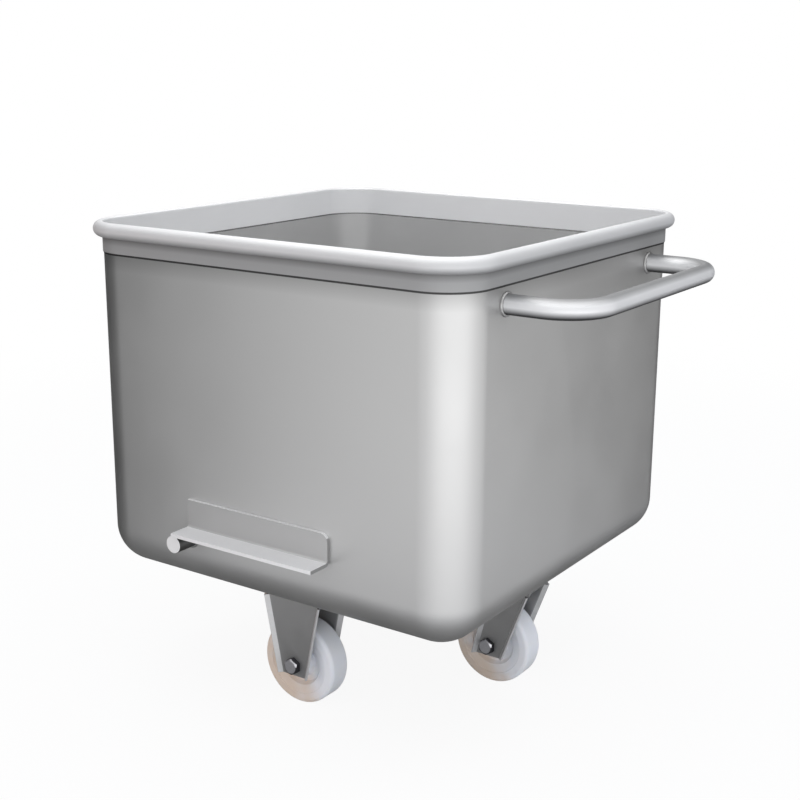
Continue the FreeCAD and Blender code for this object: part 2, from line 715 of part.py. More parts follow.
def swivel_casters(nodes):
    """Add the two swivel casters, their wheels trailing towards the middle of the trolley."""
    shared = {"swivel_caster_pads": [ring(SWIVEL_PAD_R, 0, CASTER_HEIGHT, PAD)],
              "king_studs": [king_stud()], "king_washers": [king_washer()],
              "king_nuts": [king_nut()], "lower_races": [lower_race()]}
    own = axle_group()
    for shapes in own.values():
        for shape in shapes:
            shape.translate(Vector(-TRAIL, 0, 0))
    own["fork"] = [swivel_fork()]
    own["swivel_head"] = [swivel_head()]
    own["swivel_balls"] = swivel_balls()
    for end, x, turn in (("front", -SWIVEL_X, 180), ("rear", SWIVEL_X, 0)):
        for name, shapes in shared.items():
            nodes.setdefault(name, []).extend(placed_at(shapes, x, 0, turn))
        for name, shapes in own.items():
            nodes[name + "_" + end] = placed_at(shapes, x, 0, turn)


def build():
    """All nodes of the trolley, by name, in the trolley's own frame."""
    rail = lifting_rail()
    peg = tipping_peg()
    nodes = {
        "tub_wall": [tub_wall()],
        "tub_base": [tub_base()],
        "rim_collar": [rim_collar()],
        "push_handle": [push_handle()],
        "handle_weld_rings": [handle_weld_rings()],
        "lifting_rail_left": [rail],
        "lifting_rail_right": [rail.mirror(ORIGIN, Y_AXIS)],
        "tipping_peg_left": [peg],
        "tipping_peg_right": [peg.mirror(ORIGIN, Y_AXIS)],
    }
    fixed_casters(nodes)
    swivel_casters(nodes)
    for shapes in nodes.values():
        for shape in shapes:
            shape.translate(Vector(TUB_X, 0, 0))
    return nodes


os.makedirs("parts", exist_ok=True)
for node, solids in build().items():
    whole = solids[0] if len(solids) == 1 else Part.makeCompound(solids)
    whole.exportStep("parts/" + node + ".step")
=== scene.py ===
"""Finishes and fine shapes of a stainless meat trolley bin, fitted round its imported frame.

Metres, +Z up, the floor at z = 0. The push handle is at +X, the side that faces the camera
with its lifting rail is at -Y.
"""
import logging
import math
from collections.abc import Callable, Sequence
from dataclasses import dataclass
from enum import Enum, IntEnum

import bmesh
import bpy
from mathutils import Matrix, Vector


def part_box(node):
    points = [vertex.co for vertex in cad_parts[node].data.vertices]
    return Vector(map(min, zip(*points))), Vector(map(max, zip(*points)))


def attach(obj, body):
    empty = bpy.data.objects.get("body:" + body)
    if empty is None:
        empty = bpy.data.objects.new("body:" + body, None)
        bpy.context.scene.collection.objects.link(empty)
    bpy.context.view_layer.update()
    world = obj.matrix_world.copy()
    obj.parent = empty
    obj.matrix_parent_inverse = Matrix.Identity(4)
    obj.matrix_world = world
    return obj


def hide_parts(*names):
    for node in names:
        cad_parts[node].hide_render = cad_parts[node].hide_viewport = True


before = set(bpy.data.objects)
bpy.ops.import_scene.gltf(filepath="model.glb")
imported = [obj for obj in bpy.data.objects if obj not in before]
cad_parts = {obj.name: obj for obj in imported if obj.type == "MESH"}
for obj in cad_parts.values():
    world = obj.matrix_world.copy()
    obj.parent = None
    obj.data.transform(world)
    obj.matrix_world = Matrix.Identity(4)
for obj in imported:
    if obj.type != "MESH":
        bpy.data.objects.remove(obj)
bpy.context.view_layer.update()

log = logging.getLogger("meat_trolley")

MM = 0.001
ALONG_X, ALONG_Y, ALONG_Z = Vector((1, 0, 0)), Vector((0, 1, 0)), Vector((0, 0, 1))
Ring = list[Vector]
Section = list[tuple[float, float]]


class Side(Enum):
    """The four casters, by the name that their nodes carry."""

    LEFT = "left"
    RIGHT = "right"
    FRONT = "front"
    REAR = "rear"

    @property
    def outward(self) -> int:
        """Sign along Y away from the tub, or towards the bolt's head on the middle casters."""
        return -1 if self in (Side.LEFT, Side.REAR) else 1

    @property
    def fixed(self) -> bool:
        """Whether the fork is bolted to the tub and doesn't turn."""
        return self in (Side.LEFT, Side.RIGHT)

    @property
    def carrier(self) -> str:
        """Body that carries the fork."""
        return "bin" if self.fixed else "swivel_" + self.value


class CollarLook(IntEnum):
    """Finishes of the collar, in the order of its material slots."""

    RIM = 0
    BAND = 1
    SEAM = 2
    INNER_BAND = 3


class RailLook(IntEnum):
    """Finishes of a lifting rail, in the order of its material slots."""

    PLATE = 0
    SHELF = 1
    EDGE = 2
    SAWN_END = 3


def linear(hex_colour: str) -> tuple[float, float, float, float]:
    """Turn an sRGB hex colour into the linear colour that shaders take.

    Args:
        hex_colour: Six hex digits after a hash sign.

    Returns:
        Linear red, green, blue and an alpha of 1.
    """
    parts = [int(hex_colour[i:i + 2], 16) / 255 for i in (1, 3, 5)]
    red, green, blue = (p / 12.92 if p <= 0.04045 else ((p + 0.055) / 1.055) ** 2.4 for p in parts)
    return red, green, blue, 1.0


def add_node(tree: bpy.types.NodeTree, kind: str, settings: dict[str, object] | None = None,
             values: dict[str | int, object] | None = None,
             links: dict[str | int, bpy.types.NodeSocket] | None = None) -> bpy.types.Node:
    """Add one shader node with its settings, socket values and incoming links.

    Args:
        tree: Node tree that receives the node.
        kind: Blender's type name of the node.
        settings: Node properties by name.
        values: Values of input sockets, by name or number.
        links: Output sockets to join, by input name or number.

    Returns:
        The new node.
    """
    node = tree.nodes.new(kind)
    for name, value in (settings or {}).items():
        setattr(node, name, value)
    for key, value in (values or {}).items():
        node.inputs[key].default_value = value
    for key, socket in (links or {}).items():
        tree.links.new(socket, node.inputs[key])
    return node


def empty_material(name: str) -> tuple[bpy.types.Material, bpy.types.NodeTree]:
    """Make a material with an empty node tree.

    Args:
        name: The material's name.

    Returns:
        The material and its node tree.
    """
    material = bpy.data.materials.new(name)
    material.use_nodes = True
    material.node_tree.nodes.clear()
    return material, material.node_tree


@dataclass(frozen=True)
class PaintedShade:
    """Painted shade: soft darkening of the colour by height, beside a seam, under a roll or on the
    underside of a tube.

    The colour is whole at clear_mm, and at dark_mm the share keep of it is left.
    """

    clear_mm: float
    dark_mm: float
    keep: float


@dataclass(frozen=True)
class Stainless:
    """Austenitic stainless steel with a ground finish.

    The grain runs level round the object. A real grit leaves lines of about 0.05 mm, which
    are drawn wider here so that they show as a soft sheen. Where metallic is below 1, the rest
    is the dull film that blasting, dirt and washing leave on the metal, which spreads light.
    """

    name: str
    colour: str
    roughness: float
    grain_mm: float = 0.7
    grain_depth: float = 0.06
    cloud_mm: float = 140.0
    cloud: float = 0.05
    metallic: float = 1.0
    tint: float = 0.05
    stretch: float = 0.02
    edge_tint: str = "#B4B4B4"
    gloss: float = 0.5
    painted_shades: tuple[PaintedShade, ...] = ()

    def build(self) -> bpy.types.Material:
        """Make the material.

        Returns:
            The finished material.
        """
        material, tree = empty_material(self.name)
        place = add_node(tree, "ShaderNodeTexCoord").outputs["Object"]
        along = add_node(tree, "ShaderNodeMapping",
                         values={"Scale": (self.stretch, self.stretch, 1.0)},
                         links={"Vector": place}).outputs["Vector"]
        grain = add_node(tree, "ShaderNodeTexNoise",
                         values={"Scale": 1 / (self.grain_mm * MM), "Detail": 3.0, "Roughness": 0.6},
                         links={"Vector": along}).outputs["Fac"]
        cloud = add_node(tree, "ShaderNodeTexNoise",
                         values={"Scale": 1 / (self.cloud_mm * MM), "Detail": 4.0, "Roughness": 0.55},
                         links={"Vector": place}).outputs["Fac"]
        worn = add_node(tree, "ShaderNodeMix", {"data_type": "FLOAT"},
                        {"Factor": 0.35}, {"A": cloud, "B": grain}).outputs[0]
        rough = add_node(tree, "ShaderNodeMapRange",
                         values={"From Min": 0.3, "From Max": 0.7,
                                 "To Min": self.roughness - self.cloud,
                                 "To Max": self.roughness + self.cloud},
                         links={"Value": worn}).outputs["Result"]
        base = linear(self.colour)
        dull = tuple(c * (1 - self.tint) for c in base[:3]) + (1.0,)
        clear = tuple(min(1.0, c * (1 + self.tint)) for c in base[:3]) + (1.0,)
        tone = add_node(tree, "ShaderNodeMix", {"data_type": "RGBA"}, {"A": dull, "B": clear},
                        {"Factor": worn}).outputs["Result"]
        for shade in self.painted_shades:
            tone = self.with_painted_shade(tree, shade, tone, place)
        bump = add_node(tree, "ShaderNodeBump",
                        values={"Strength": self.grain_depth, "Distance": 0.1 * MM},
                        links={"Height": grain}).outputs["Normal"]
        shader = add_node(tree, "ShaderNodeBsdfPrincipled",
                          values={"Metallic": self.metallic,
                                  "Specular Tint": linear(self.edge_tint),
                                  "Specular IOR Level": self.gloss},
                          links={"Base Color": tone, "Roughness": rough, "Normal": bump})
        add_node(tree, "ShaderNodeOutputMaterial", links={"Surface": shader.outputs["BSDF"]})
        return material

    def with_painted_shade(self, tree: bpy.types.NodeTree, shade: PaintedShade, tone: bpy.types.NodeSocket,
               place: bpy.types.NodeSocket) -> bpy.types.NodeSocket:
        """Paint shade into a tone: darken it towards one height.

        Args:
            tree: Node tree.
            shade: Where it darkens, and how much of the colour it keeps.
            tone: Socket with the colour.
            place: Socket with the point in space.

        Returns:
            Socket with the darkened colour.
        """
        height = add_node(tree, "ShaderNodeSeparateXYZ", links={0: place}).outputs["Z"]
        share = add_node(tree, "ShaderNodeMapRange",
                         values={"From Min": shade.clear_mm * MM, "From Max": shade.dark_mm * MM,
                                 "To Min": 1.0, "To Max": shade.keep}, links={"Value": height})
        return add_node(tree, "ShaderNodeVectorMath", {"operation": "SCALE"},
                        links={0: tone, "Scale": share.outputs["Result"]}).outputs[0]


@dataclass(frozen=True)
class Polyamide:
    """Natural cast polyamide 6: milky and slightly see-through.

    It is bluish white, and warm and darker towards -X and low down, which stands for aged polyamide
    and also paints the shade on that side.
    """

    name: str
    colour: str = "#EEF0F4"
    warm: str = "#DCC4AA"
    roughness: float = 0.42
    aged_and_shaded_way: tuple[float, float, float] = (-0.75, 0.0, -0.65)
    aged_and_shaded_share: float = 0.75
    patch_mm: float = 40.0
    scuff_mm: float = 1.6
    scatter: float = 0.18
    scatter_mm: float = 4.0

    def build(self) -> bpy.types.Material:
        """Make the material.

        Returns:
            The finished material.
        """
        material, tree = empty_material(self.name)
        place = add_node(tree, "ShaderNodeTexCoord").outputs["Object"]
        patch = add_node(tree, "ShaderNodeTexNoise",
                         values={"Scale": 1 / (self.patch_mm * MM), "Detail": 2.0},
                         links={"Vector": place}).outputs["Fac"]
        scuff = add_node(tree, "ShaderNodeTexNoise",
                         values={"Scale": 1 / (self.scuff_mm * MM), "Detail": 5.0, "Roughness": 0.7},
                         links={"Vector": place}).outputs["Fac"]
        box_place = add_node(tree, "ShaderNodeTexCoord").outputs["Generated"]
        # The warm tone towards one low side is age and painted shade both.
        from_middle = add_node(tree, "ShaderNodeVectorMath", {"operation": "SUBTRACT"},
                               {1: (0.5, 0.5, 0.5)}, {0: box_place}).outputs[0]
        side = add_node(tree, "ShaderNodeVectorMath", {"operation": "DOT_PRODUCT"},
                        {1: self.aged_and_shaded_way}, {0: from_middle}).outputs["Value"]
        ragged = add_node(tree, "ShaderNodeMath", {"operation": "MULTIPLY_ADD"}, {1: 0.9},
                          {0: patch, 2: side}).outputs[0]
        age_and_shade = add_node(tree, "ShaderNodeMapRange", {"interpolation_type": "SMOOTHSTEP"},
                       {"From Min": 0.25, "From Max": 0.85, "To Min": 0.0,
                        "To Max": self.aged_and_shaded_share}, {"Value": ragged}).outputs["Result"]
        tone = add_node(tree, "ShaderNodeMix", {"data_type": "RGBA"},
                        {"A": linear(self.colour), "B": linear(self.warm)},
                        {"Factor": age_and_shade}).outputs["Result"]
        rough = add_node(tree, "ShaderNodeMapRange",
                         values={"From Min": 0.3, "From Max": 0.7, "To Min": self.roughness - 0.06,
                                 "To Max": self.roughness + 0.1},
                         links={"Value": scuff}).outputs["Result"]
        bump = add_node(tree, "ShaderNodeBump", values={"Strength": 0.12, "Distance": 0.1 * MM},
                        links={"Height": scuff}).outputs["Normal"]
        shader = add_node(tree, "ShaderNodeBsdfPrincipled",
                          values={"Subsurface Weight": self.scatter,
                                  "Subsurface Radius": (1.0, 0.8, 0.6),
                                  "Subsurface Scale": self.scatter_mm * MM, "IOR": 1.53},
                          links={"Base Color": tone, "Roughness": rough, "Normal": bump})
        add_node(tree, "ShaderNodeOutputMaterial", links={"Surface": shader.outputs["BSDF"]})
        return material


@dataclass(frozen=True)
class Finishes:
    """One finish for each kind of surface, named by how it was made or by the light or shade painted
    into it.
    """

    # Belt ground level round the tub: wide soft glints and no mirrored shapes. Painted shade
    # darkens it just below the collar.
    tub: Stainless = Stainless("satin_ground_stainless_sheet", "#CDCDCD", 0.48,
                               painted_shades=(PaintedShade(clear_mm=622.0, dark_mm=645.0, keep=0.72),))
    # The same sheet inside, as a paler copy that paints the light falling into the tub; it also
    # spreads that light.
    inside: Stainless = Stainless("satin_ground_tub_inside", "#D6D6D6", 0.40, metallic=0.9)
    # Rolled and brushed by hand: a paler copy of the sheet that paints the light on its top, with
    # painted shade darkening it down to its slit.
    rim: Stainless = Stainless("brushed_rolled_rim", "#D6D6D6", 0.55, grain_depth=0.03,
                               metallic=0.45, edge_tint="#808080", gloss=0.15,
                               painted_shades=(PaintedShade(clear_mm=678.0, dark_mm=668.0, keep=0.42),))
    # Brushed up to the roll: an even pale strip round the opening, a paler copy of the sheet that
    # paints the light on it.
    inner_band: Stainless = Stainless("brushed_inner_band", "#DEDEDE", 0.50, metallic=0.25)
    # Coarsely ground beside its seam: duller than the wall. Its darker colour is painted shade from
    # the roll, darkest just under it.
    band: Stainless = Stainless("coarse_ground_band_painted_shade", "#ACACAC", 0.66, metallic=0.6,
                                painted_shades=(PaintedShade(clear_mm=658.0, dark_mm=668.0, keep=0.6),))
    # Weld between collar and wall, ground down into the step: a thin dark line, which on the outer
    # step also paints the shadow under the collar's edge.
    seam: Stainless = Stainless("weld_seam_and_painted_shadow", "#5E5E5E", 0.55, grain_mm=1.5)
    # Brushed along the tube: its pale colour paints one soft streak of light, and painted shade
    # darkens its top and underside.
    tube: Stainless = Stainless("brushed_stainless_tube", "#EAEAEA", 0.46, grain_depth=0.03,
                                metallic=0.45, edge_tint="#606060", gloss=0.15,
                                painted_shades=(PaintedShade(clear_mm=628.0, dark_mm=634.0, keep=0.4),
                                        PaintedShade(clear_mm=621.0, dark_mm=612.0, keep=0.08)))
    # Blasted with glass beads: an even matt grey with hardly a glint.
    rail: Stainless = Stainless("blasted_stainless_plate", "#C2C2C2", 0.52, metallic=0.85)
    # A near-white copy of the plate on the shelf and the peg's end, which paints the light falling on
    # them.
    shelf: Stainless = Stainless("rail_shelf_painted_light", "#F2F2F2", 0.50, metallic=0.45)
    # Sheared and deburred: a near-white colour paints a fine highlight along the plate.
    edge: Stainless = Stainless("sheared_edge_painted_highlight", "#F0F0F0", 0.50, metallic=0.5)
    # Pressed sheet left as it came: cloudy grey with darker patches.
    fork: Stainless = Stainless("pressed_dull_stainless", "#A6A6A6", 0.48, tint=0.16,
                                cloud_mm=30.0, cloud=0.08, metallic=0.85)
    # A paler, mottled copy of the fork's finish, which paints the light that the flared edges catch.
    flare: Stainless = Stainless("fork_flare_painted_light", "#D8D8D8", 0.50, tint=0.14,
                                 cloud_mm=6.0, metallic=0.6)
    # Brushed weld: its ripples catch the light one by one.
    weld: Stainless = Stainless("brushed_weld_bead", "#B0B0B0", 0.42, grain_mm=1.5,
                                grain_depth=0.3)
    # Cold formed bolts, nuts and washers: small hard glints on speckled grey.
    fastener: Stainless = Stainless("cold_formed_stainless", "#C4C4C8", 0.32, grain_mm=0.4,
                                    cloud_mm=3.0, tint=0.3, metallic=0.8)
    # Dark grey on the hexagon sides beside the bright face of the head; on the lower half of the
    # chamfer it is painted shade.
    hexagon: Stainless = Stainless("hexagon_side_and_painted_chamfer_shade", "#5A5A5E", 0.36, cloud_mm=8.0)
    # A dull dark grey along the peg's side, which paints the shade there beside its pale end.
    bar: Stainless = Stainless("peg_side_painted_shade", "#747474", 0.50)
    # Ground and polished: each ball is a small clear mirror.
    ball: Stainless = Stainless("ground_bearing_steel", "#C4C4C6", 0.12, grain_depth=0.0)
    # Cast and turned: milky white that lets light in a little, warm towards its lower side with age
    # and painted shade.
    wheel: Polyamide = Polyamide("cast_natural_polyamide")
    # Machined bushes and thrust washers: beige and matt.
    bearing: Polyamide = Polyamide("machined_bearing_polymer", "#C9C4B4", "#A69C86", 0.5)

    def build(self) -> dict[str, bpy.types.Material]:
        """Make every material.

        Returns:
            Materials by the field's name.
        """
        return {name: getattr(self, name).build() for name in self.__dataclass_fields__}


def placed(name: str, mesh: bpy.types.Mesh) -> bpy.types.Object:
    """Put a mesh into the scene.

    Args:
        name: The piece's name.
        mesh: Its mesh.

    Returns:
        The new object.
    """
    piece = bpy.data.objects.new(name, mesh)
    bpy.context.scene.collection.objects.link(piece)
    return piece


def open_sheet(name: str, points: Sequence[Vector],
               faces: Sequence[Sequence[int]]) -> bpy.types.Object:
    """Make an open mesh for the studio.

    Args:
        name: The piece's name.
        points: Its points.
        faces: Point numbers of each face.

    Returns:
        The new object, in the scene.
    """
    mesh = bpy.data.meshes.new(name)
    mesh.from_pydata(points, [], faces)
    return placed(name, mesh)


def solid_from(name: str, build: bmesh.types.BMesh) -> bpy.types.Object:
    """Turn a finished bmesh into an object, and free it.

    Args:
        name: The piece's name.
        build: The finished bmesh.

    Returns:
        The new object, in the scene.
    """
    mesh = bpy.data.meshes.new(name)
    build.to_mesh(mesh)
    build.free()
    return placed(name, mesh)


def skin(name: str, rings: Sequence[Ring], wrap: bool = False) -> bpy.types.Object:
    """Skin closed rings of points into one closed mesh.

    Args:
        name: The piece's name.
        rings: Rings of equal length, in order.
        wrap: Join the last ring to the first, as on a band, in place of an end face on each.

    Returns:
        The new object, in the scene.
    """
    build = bmesh.new()
    rows = [[build.verts.new(point) for point in ring] for ring in rings]
    pairs = list(zip(rows, rows[1:]))
    if wrap:
        pairs.append((rows[-1], rows[0]))
    for low, high in pairs:
        for i, corner in enumerate(low):
            j = (i + 1) % len(low)
            build.faces.new((corner, low[j], high[j], high[i]))
    if not wrap:
        build.faces.new(rows[0][::-1])
        build.faces.new(rows[-1])
    bmesh.ops.recalc_face_normals(build, faces=build.faces)
    return solid_from(name, build)


def join(name: str, parts: Sequence[bpy.types.Object]) -> bpy.types.Object:
    """Put several closed meshes into one piece.

    Args:
        name: The piece's name.
        parts: Objects to take in, which are removed.

    Returns:
        The joined object.
    """
    build = bmesh.new()
    for part in parts:
        build.from_mesh(part.data)
        bpy.data.objects.remove(part)
    return solid_from(name, build)


def smooth(piece: bpy.types.Object, sharp_deg: float = 35.0) -> bpy.types.Object:
    """Shade a piece smooth, except across edges sharper than an angle.

    Args:
        piece: Mesh object.
        sharp_deg: Edges that turn by more than this stay sharp.

    Returns:
        The same object.
    """
    piece.data.shade_smooth()
    piece.data.set_sharp_from_angle(angle=math.radians(sharp_deg))
    keep = piece.modifiers.new("weighted", "WEIGHTED_NORMAL")
    keep.keep_sharp = True
    return piece


def rounded(piece: bpy.types.Object, width_mm: float, sharp_deg: float = 35.0) -> bpy.types.Object:
    """Break a piece's sharp edges and shade it smooth.

    Args:
        piece: Mesh object.
        width_mm: Width of the broken edge.
        sharp_deg: Edges that turn by more than this are broken.

    Returns:
        The same object.
    """
    edge = piece.modifiers.new("broken_edges", "BEVEL")
    edge.width = width_mm * MM
    edge.segments = 2
    edge.limit_method = "ANGLE"
    edge.angle_limit = math.radians(sharp_deg)
    edge.harden_normals = True
    piece.data.shade_smooth()
    return piece


def arc(centre: tuple[float, float], radius: float, start: float, end: float,
        steps: int) -> Section:
    """Points on an arc, both ends included.

    Args:
        centre: Centre in the section's plane.
        radius: Radius.
        start: First angle in degrees.
        end: Last angle in degrees.
        steps: Number of chords.

    Returns:
        The points.
    """
    angles = [math.radians(start + (end - start) * i / steps) for i in range(steps + 1)]
    return [(centre[0] + radius * math.cos(a), centre[1] + radius * math.sin(a)) for a in angles]


def square_ring(middle_x: float, half: float, radius: float, z: float, steps: int,
                support: float) -> Ring:
    """Level ring round a square with round corners.

    Args:
        middle_x: Centre of the square on X.
        half: Half of its width.
        radius: Corner radius.
        z: Height.
        steps: Chords in each corner.
        support: Length of the short side pieces beside a corner, which keep the sides flat.

    Returns:
        The ring's points, counterclockwise.
    """
    straight = half - radius
    points = []
    for turn in range(4):
        corner = [(half, straight - support)]
        corner += arc((straight, straight), radius, 0, 90, steps)
        corner.append((straight - support, half))
        turned = Matrix.Rotation(math.radians(90 * turn), 2)
        points += [turned @ Vector(p) for p in corner]
    return [Vector((middle_x + p.x, p.y, z)) for p in points]


def pipe(path: Sequence[Vector], plane_normal: Vector, radius: Callable[[int], float], steps: int,
         closed: bool = False) -> list[Ring]:
    """Rings along a path that lies in one plane.

    Args:
        path: Points of the middle line.
        plane_normal: Normal of the path's plane.
        radius: Radius at each point, by its number.
        steps: Points in each ring.
        closed: The path returns to its start.

    Returns:
        One ring for each point.
    """
    rings = []
    last = len(path) - 1
    for i, point in enumerate(path):
        before = path[i - 1] if i or closed else path[0]
        after = path[(i + 1) % len(path)] if i < last or closed else path[last]
        across = (after - before).normalized().cross(plane_normal)
        size = radius(i)
        turns = [2 * math.pi * k / steps for k in range(steps)]
        rings.append([point + (across * math.cos(t) + plane_normal * math.sin(t)) * size
                      for t in turns])
    return rings


def weld_bead(name: str, path: Sequence[Vector], plane_normal: Vector, size_mm: float,
              closed: bool = False) -> bpy.types.Object:
    """A rippled weld seam along a path.

    Args:
        name: The piece's name.
        path: Points of the seam, about one ripple apart.
        plane_normal: Normal of the path's plane.
        size_mm: Radius of the bead.
        closed: The seam runs right round.

    Returns:
        The new piece.
    """
    swell = (1.0, 1.1, 1.16, 1.08)
    rings = pipe(path, plane_normal, lambda i: size_mm * MM * swell[i % len(swell)], 10, closed)
    return smooth(skin(name, rings, wrap=closed), sharp_deg=60)


def circle_path(centre: Vector, first: Vector, second: Vector, radius: float,
                steps: int) -> list[Vector]:
    """Points round a circle.

    Args:
        centre: Centre of the circle.
        first: Unit vector in its plane.
        second: Unit vector in its plane, square to the first.
        radius: Radius.
        steps: Number of points.

    Returns:
        The points.
    """
    turns = [2 * math.pi * i / steps for i in range(steps)]
    return [centre + (first * math.cos(t) + second * math.sin(t)) * radius for t in turns]


def dress(piece: bpy.types.Object, *materials: bpy.types.Material) -> None:
    """Give a piece its materials.

    Args:
        piece: Mesh object.
        materials: Its finishes. The first one goes on every face that names no other.
    """
    slots = piece.data.materials
    for i, material in enumerate(materials):
        if i < len(slots):
            slots[i] = material
        else:
            slots.append(material)


def middle(node: str) -> Vector:
    """Middle of a node's box."""
    low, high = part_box(node)
    return (low + high) / 2


def settle(piece: bpy.types.Object, material: bpy.types.Material | Sequence[bpy.types.Material],
           body: str, slot: str, *nodes: str) -> bpy.types.Object:
    """Finish a piece: its material, the body it rides on and what it stands for.

    Args:
        piece: The new piece.
        material: Its finish, or the finishes that its faces number.
        body: Body that carries it.
        slot: The record's material slot; not used.
        nodes: Nodes that it replaces.

    Returns:
        The same piece.
    """
    dress(piece, *(material if isinstance(material, (list, tuple)) else (material,)))
    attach(piece, body)
    if nodes:
        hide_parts(*nodes)
    log.info("%s: %d faces, rides on %s", piece.name, len(piece.data.polygons), body)
    return piece


@dataclass
class Tub:
    """The welded tub: walls and base as one ground shell, and the collar with its rolled rim."""

    finish: dict[str, bpy.types.Material]
    sheet: float = 2.0 * MM
    corner_radius: float = 62.0 * MM
    bead_radius: float = 11.0 * MM
    joggle: float = 1.3 * MM
    outer_step: float = 3.0 * MM
    inner_step: float = 2.0 * MM
    bead_slit: float = 0.8 * MM
    support: float = 3.0 * MM
    corner_steps: int = 28
    base_steps: int = 22
    step_chords: int = 6
    roll_in_chords: int = 6
    roll_out_chords: int = 4
    bead_out_chords: int = 24
    bead_in_chords: int = 12

    def __post_init__(self) -> None:
        """Read the tub's places from the frame."""
        low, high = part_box("tub_wall")
        self.x = (low.x + high.x) / 2
        self.half = (high.x - low.x) / 2
        self.wall_top = high.z
        self.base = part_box("tub_base")[0].z
        self.base_radius = low.z - self.base
        rim_low, rim_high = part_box("rim_collar")
        self.rim_half = (rim_high.x - rim_low.x) / 2
        self.rim_top = rim_high.z

    def ring(self, inset: float, z: float) -> Ring:
        """Ring at a distance inside the wall's outer face, at height z."""
        return square_ring(self.x, self.half - inset, self.corner_radius - inset, z,
                           self.corner_steps, self.support)

    def skin_rings(self, inset: float) -> list[Ring]:
        """Rings of one face of the sheet, from the top of the wall down to the base.

        Args:
            inset: Distance of that face inside the outer one.

        Returns:
            The rings.
        """
        bottom = self.base + inset
        radius = self.base_radius - inset
        top = self.base + self.base_radius
        heights = (self.wall_top, self.wall_top - self.support, top + self.support)
        rings = [self.ring(inset, z) for z in heights]
        for across, z in arc((self.base_radius, top), radius, 180, 270, self.base_steps):
            rings.append(self.ring(across, z))
        rings.append(self.ring(self.base_radius + self.support / 2, bottom))
        return rings

    def shell(self) -> bpy.types.Object:
        """Build walls and base pan as one closed skin.

        Returns:
            The shell.
        """
        outside = self.skin_rings(0.0)
        inside = self.skin_rings(self.sheet)
        shell = smooth(skin("tub_shell", outside[::-1] + inside))
        faces = shell.data.polygons
        for face in faces:
            face.material_index = int(face.index // len(inside[0]) >= len(outside))
        faces[len(faces) - 2].material_index = 0  # the base's outer face, made before the inner
        looks = (self.finish["tub"], self.finish["inside"])
        return settle(shell, looks, "bin", "tub_stainless", "tub_wall", "tub_base")

    def step(self, height: float, inset: float) -> Section:
        """Smooth step from the wall's face out to the collar's.

        Args:
            height: Height over which it steps out, above the top of the wall.
            inset: Distance of this face of the sheet inside the outer one.

        Returns:
            Points as (distance outside the collar's outer face, height), from below.
        """
        shares = [i / self.step_chords for i in range(self.step_chords + 1)]
        return [(-inset - self.joggle * (1 - t * t * (3 - 2 * t)), self.wall_top + height * t)
                for t in shares]

    def rim_section(self) -> tuple[Section, list[CollarLook]]:
        """Section of collar and rolled rim.

        Returns:
            Points as (distance outside the collar's outer face, height), round the sheet, and
            the finish of the face that follows each one.
        """
        top = self.rim_top
        roll = self.rim_half - self.collar_half - self.bead_radius
        turn = roll + self.sheet
        slit_z = top - 2 * self.bead_radius
        centre = (roll, top - self.bead_radius)
        points = self.step(self.inner_step, self.sheet)
        looks = [CollarLook.SEAM] * (len(points) - 1)
        points.append((-self.sheet, top - turn - self.support))
        points += arc((roll, top - turn), turn, 180, 90, self.roll_in_chords)
        # the inner band's finish runs on over the roll's first chord
        looks += [CollarLook.INNER_BAND] * 3
        points += arc(centre, self.bead_radius, 90, -90, self.bead_out_chords)[1:]
        looks += [CollarLook.RIM] * (len(points) - len(looks))
        points += [(self.bead_slit, slit_z), (self.bead_slit, slit_z + self.sheet)]
        points += arc(centre, self.bead_radius - self.sheet, -90, 90, self.bead_in_chords)
        points += arc((roll, top - turn), turn - self.sheet, 90, 180, self.roll_out_chords)[1:]
        points.append((0.0, self.wall_top + self.outer_step + self.support))
        looks += [CollarLook.BAND] * (len(points) - len(looks))
        points += self.step(self.outer_step, 0.0)[::-1]
        looks += [CollarLook.SEAM] * (len(points) - len(looks))
        return points, looks

    def collar(self) -> bpy.types.Object:
        """Build the collar band with its rolled rim.

        Returns:
            The collar.
        """
        points, looks = self.rim_section()
        radius = self.corner_radius + self.joggle
        rings = [square_ring(self.x, self.collar_half + out, radius + out, z, self.corner_steps,
                             self.support) for out, z in points]
        collar = smooth(skin("rolled_rim", rings, wrap=True), sharp_deg=50)
        for face in collar.data.polygons:
            face.material_index = looks[face.index // len(rings[0])]
        finishes = [self.finish[look.name.lower()] for look in CollarLook]
        return settle(collar, finishes, "bin", "rim_stainless", "rim_collar")

    @property
    def collar_half(self) -> float:
        """Half width over the collar's outer faces."""
        return self.half + self.joggle

    def build(self) -> None:
        """Build the whole tub."""
        self.shell()
        self.collar()


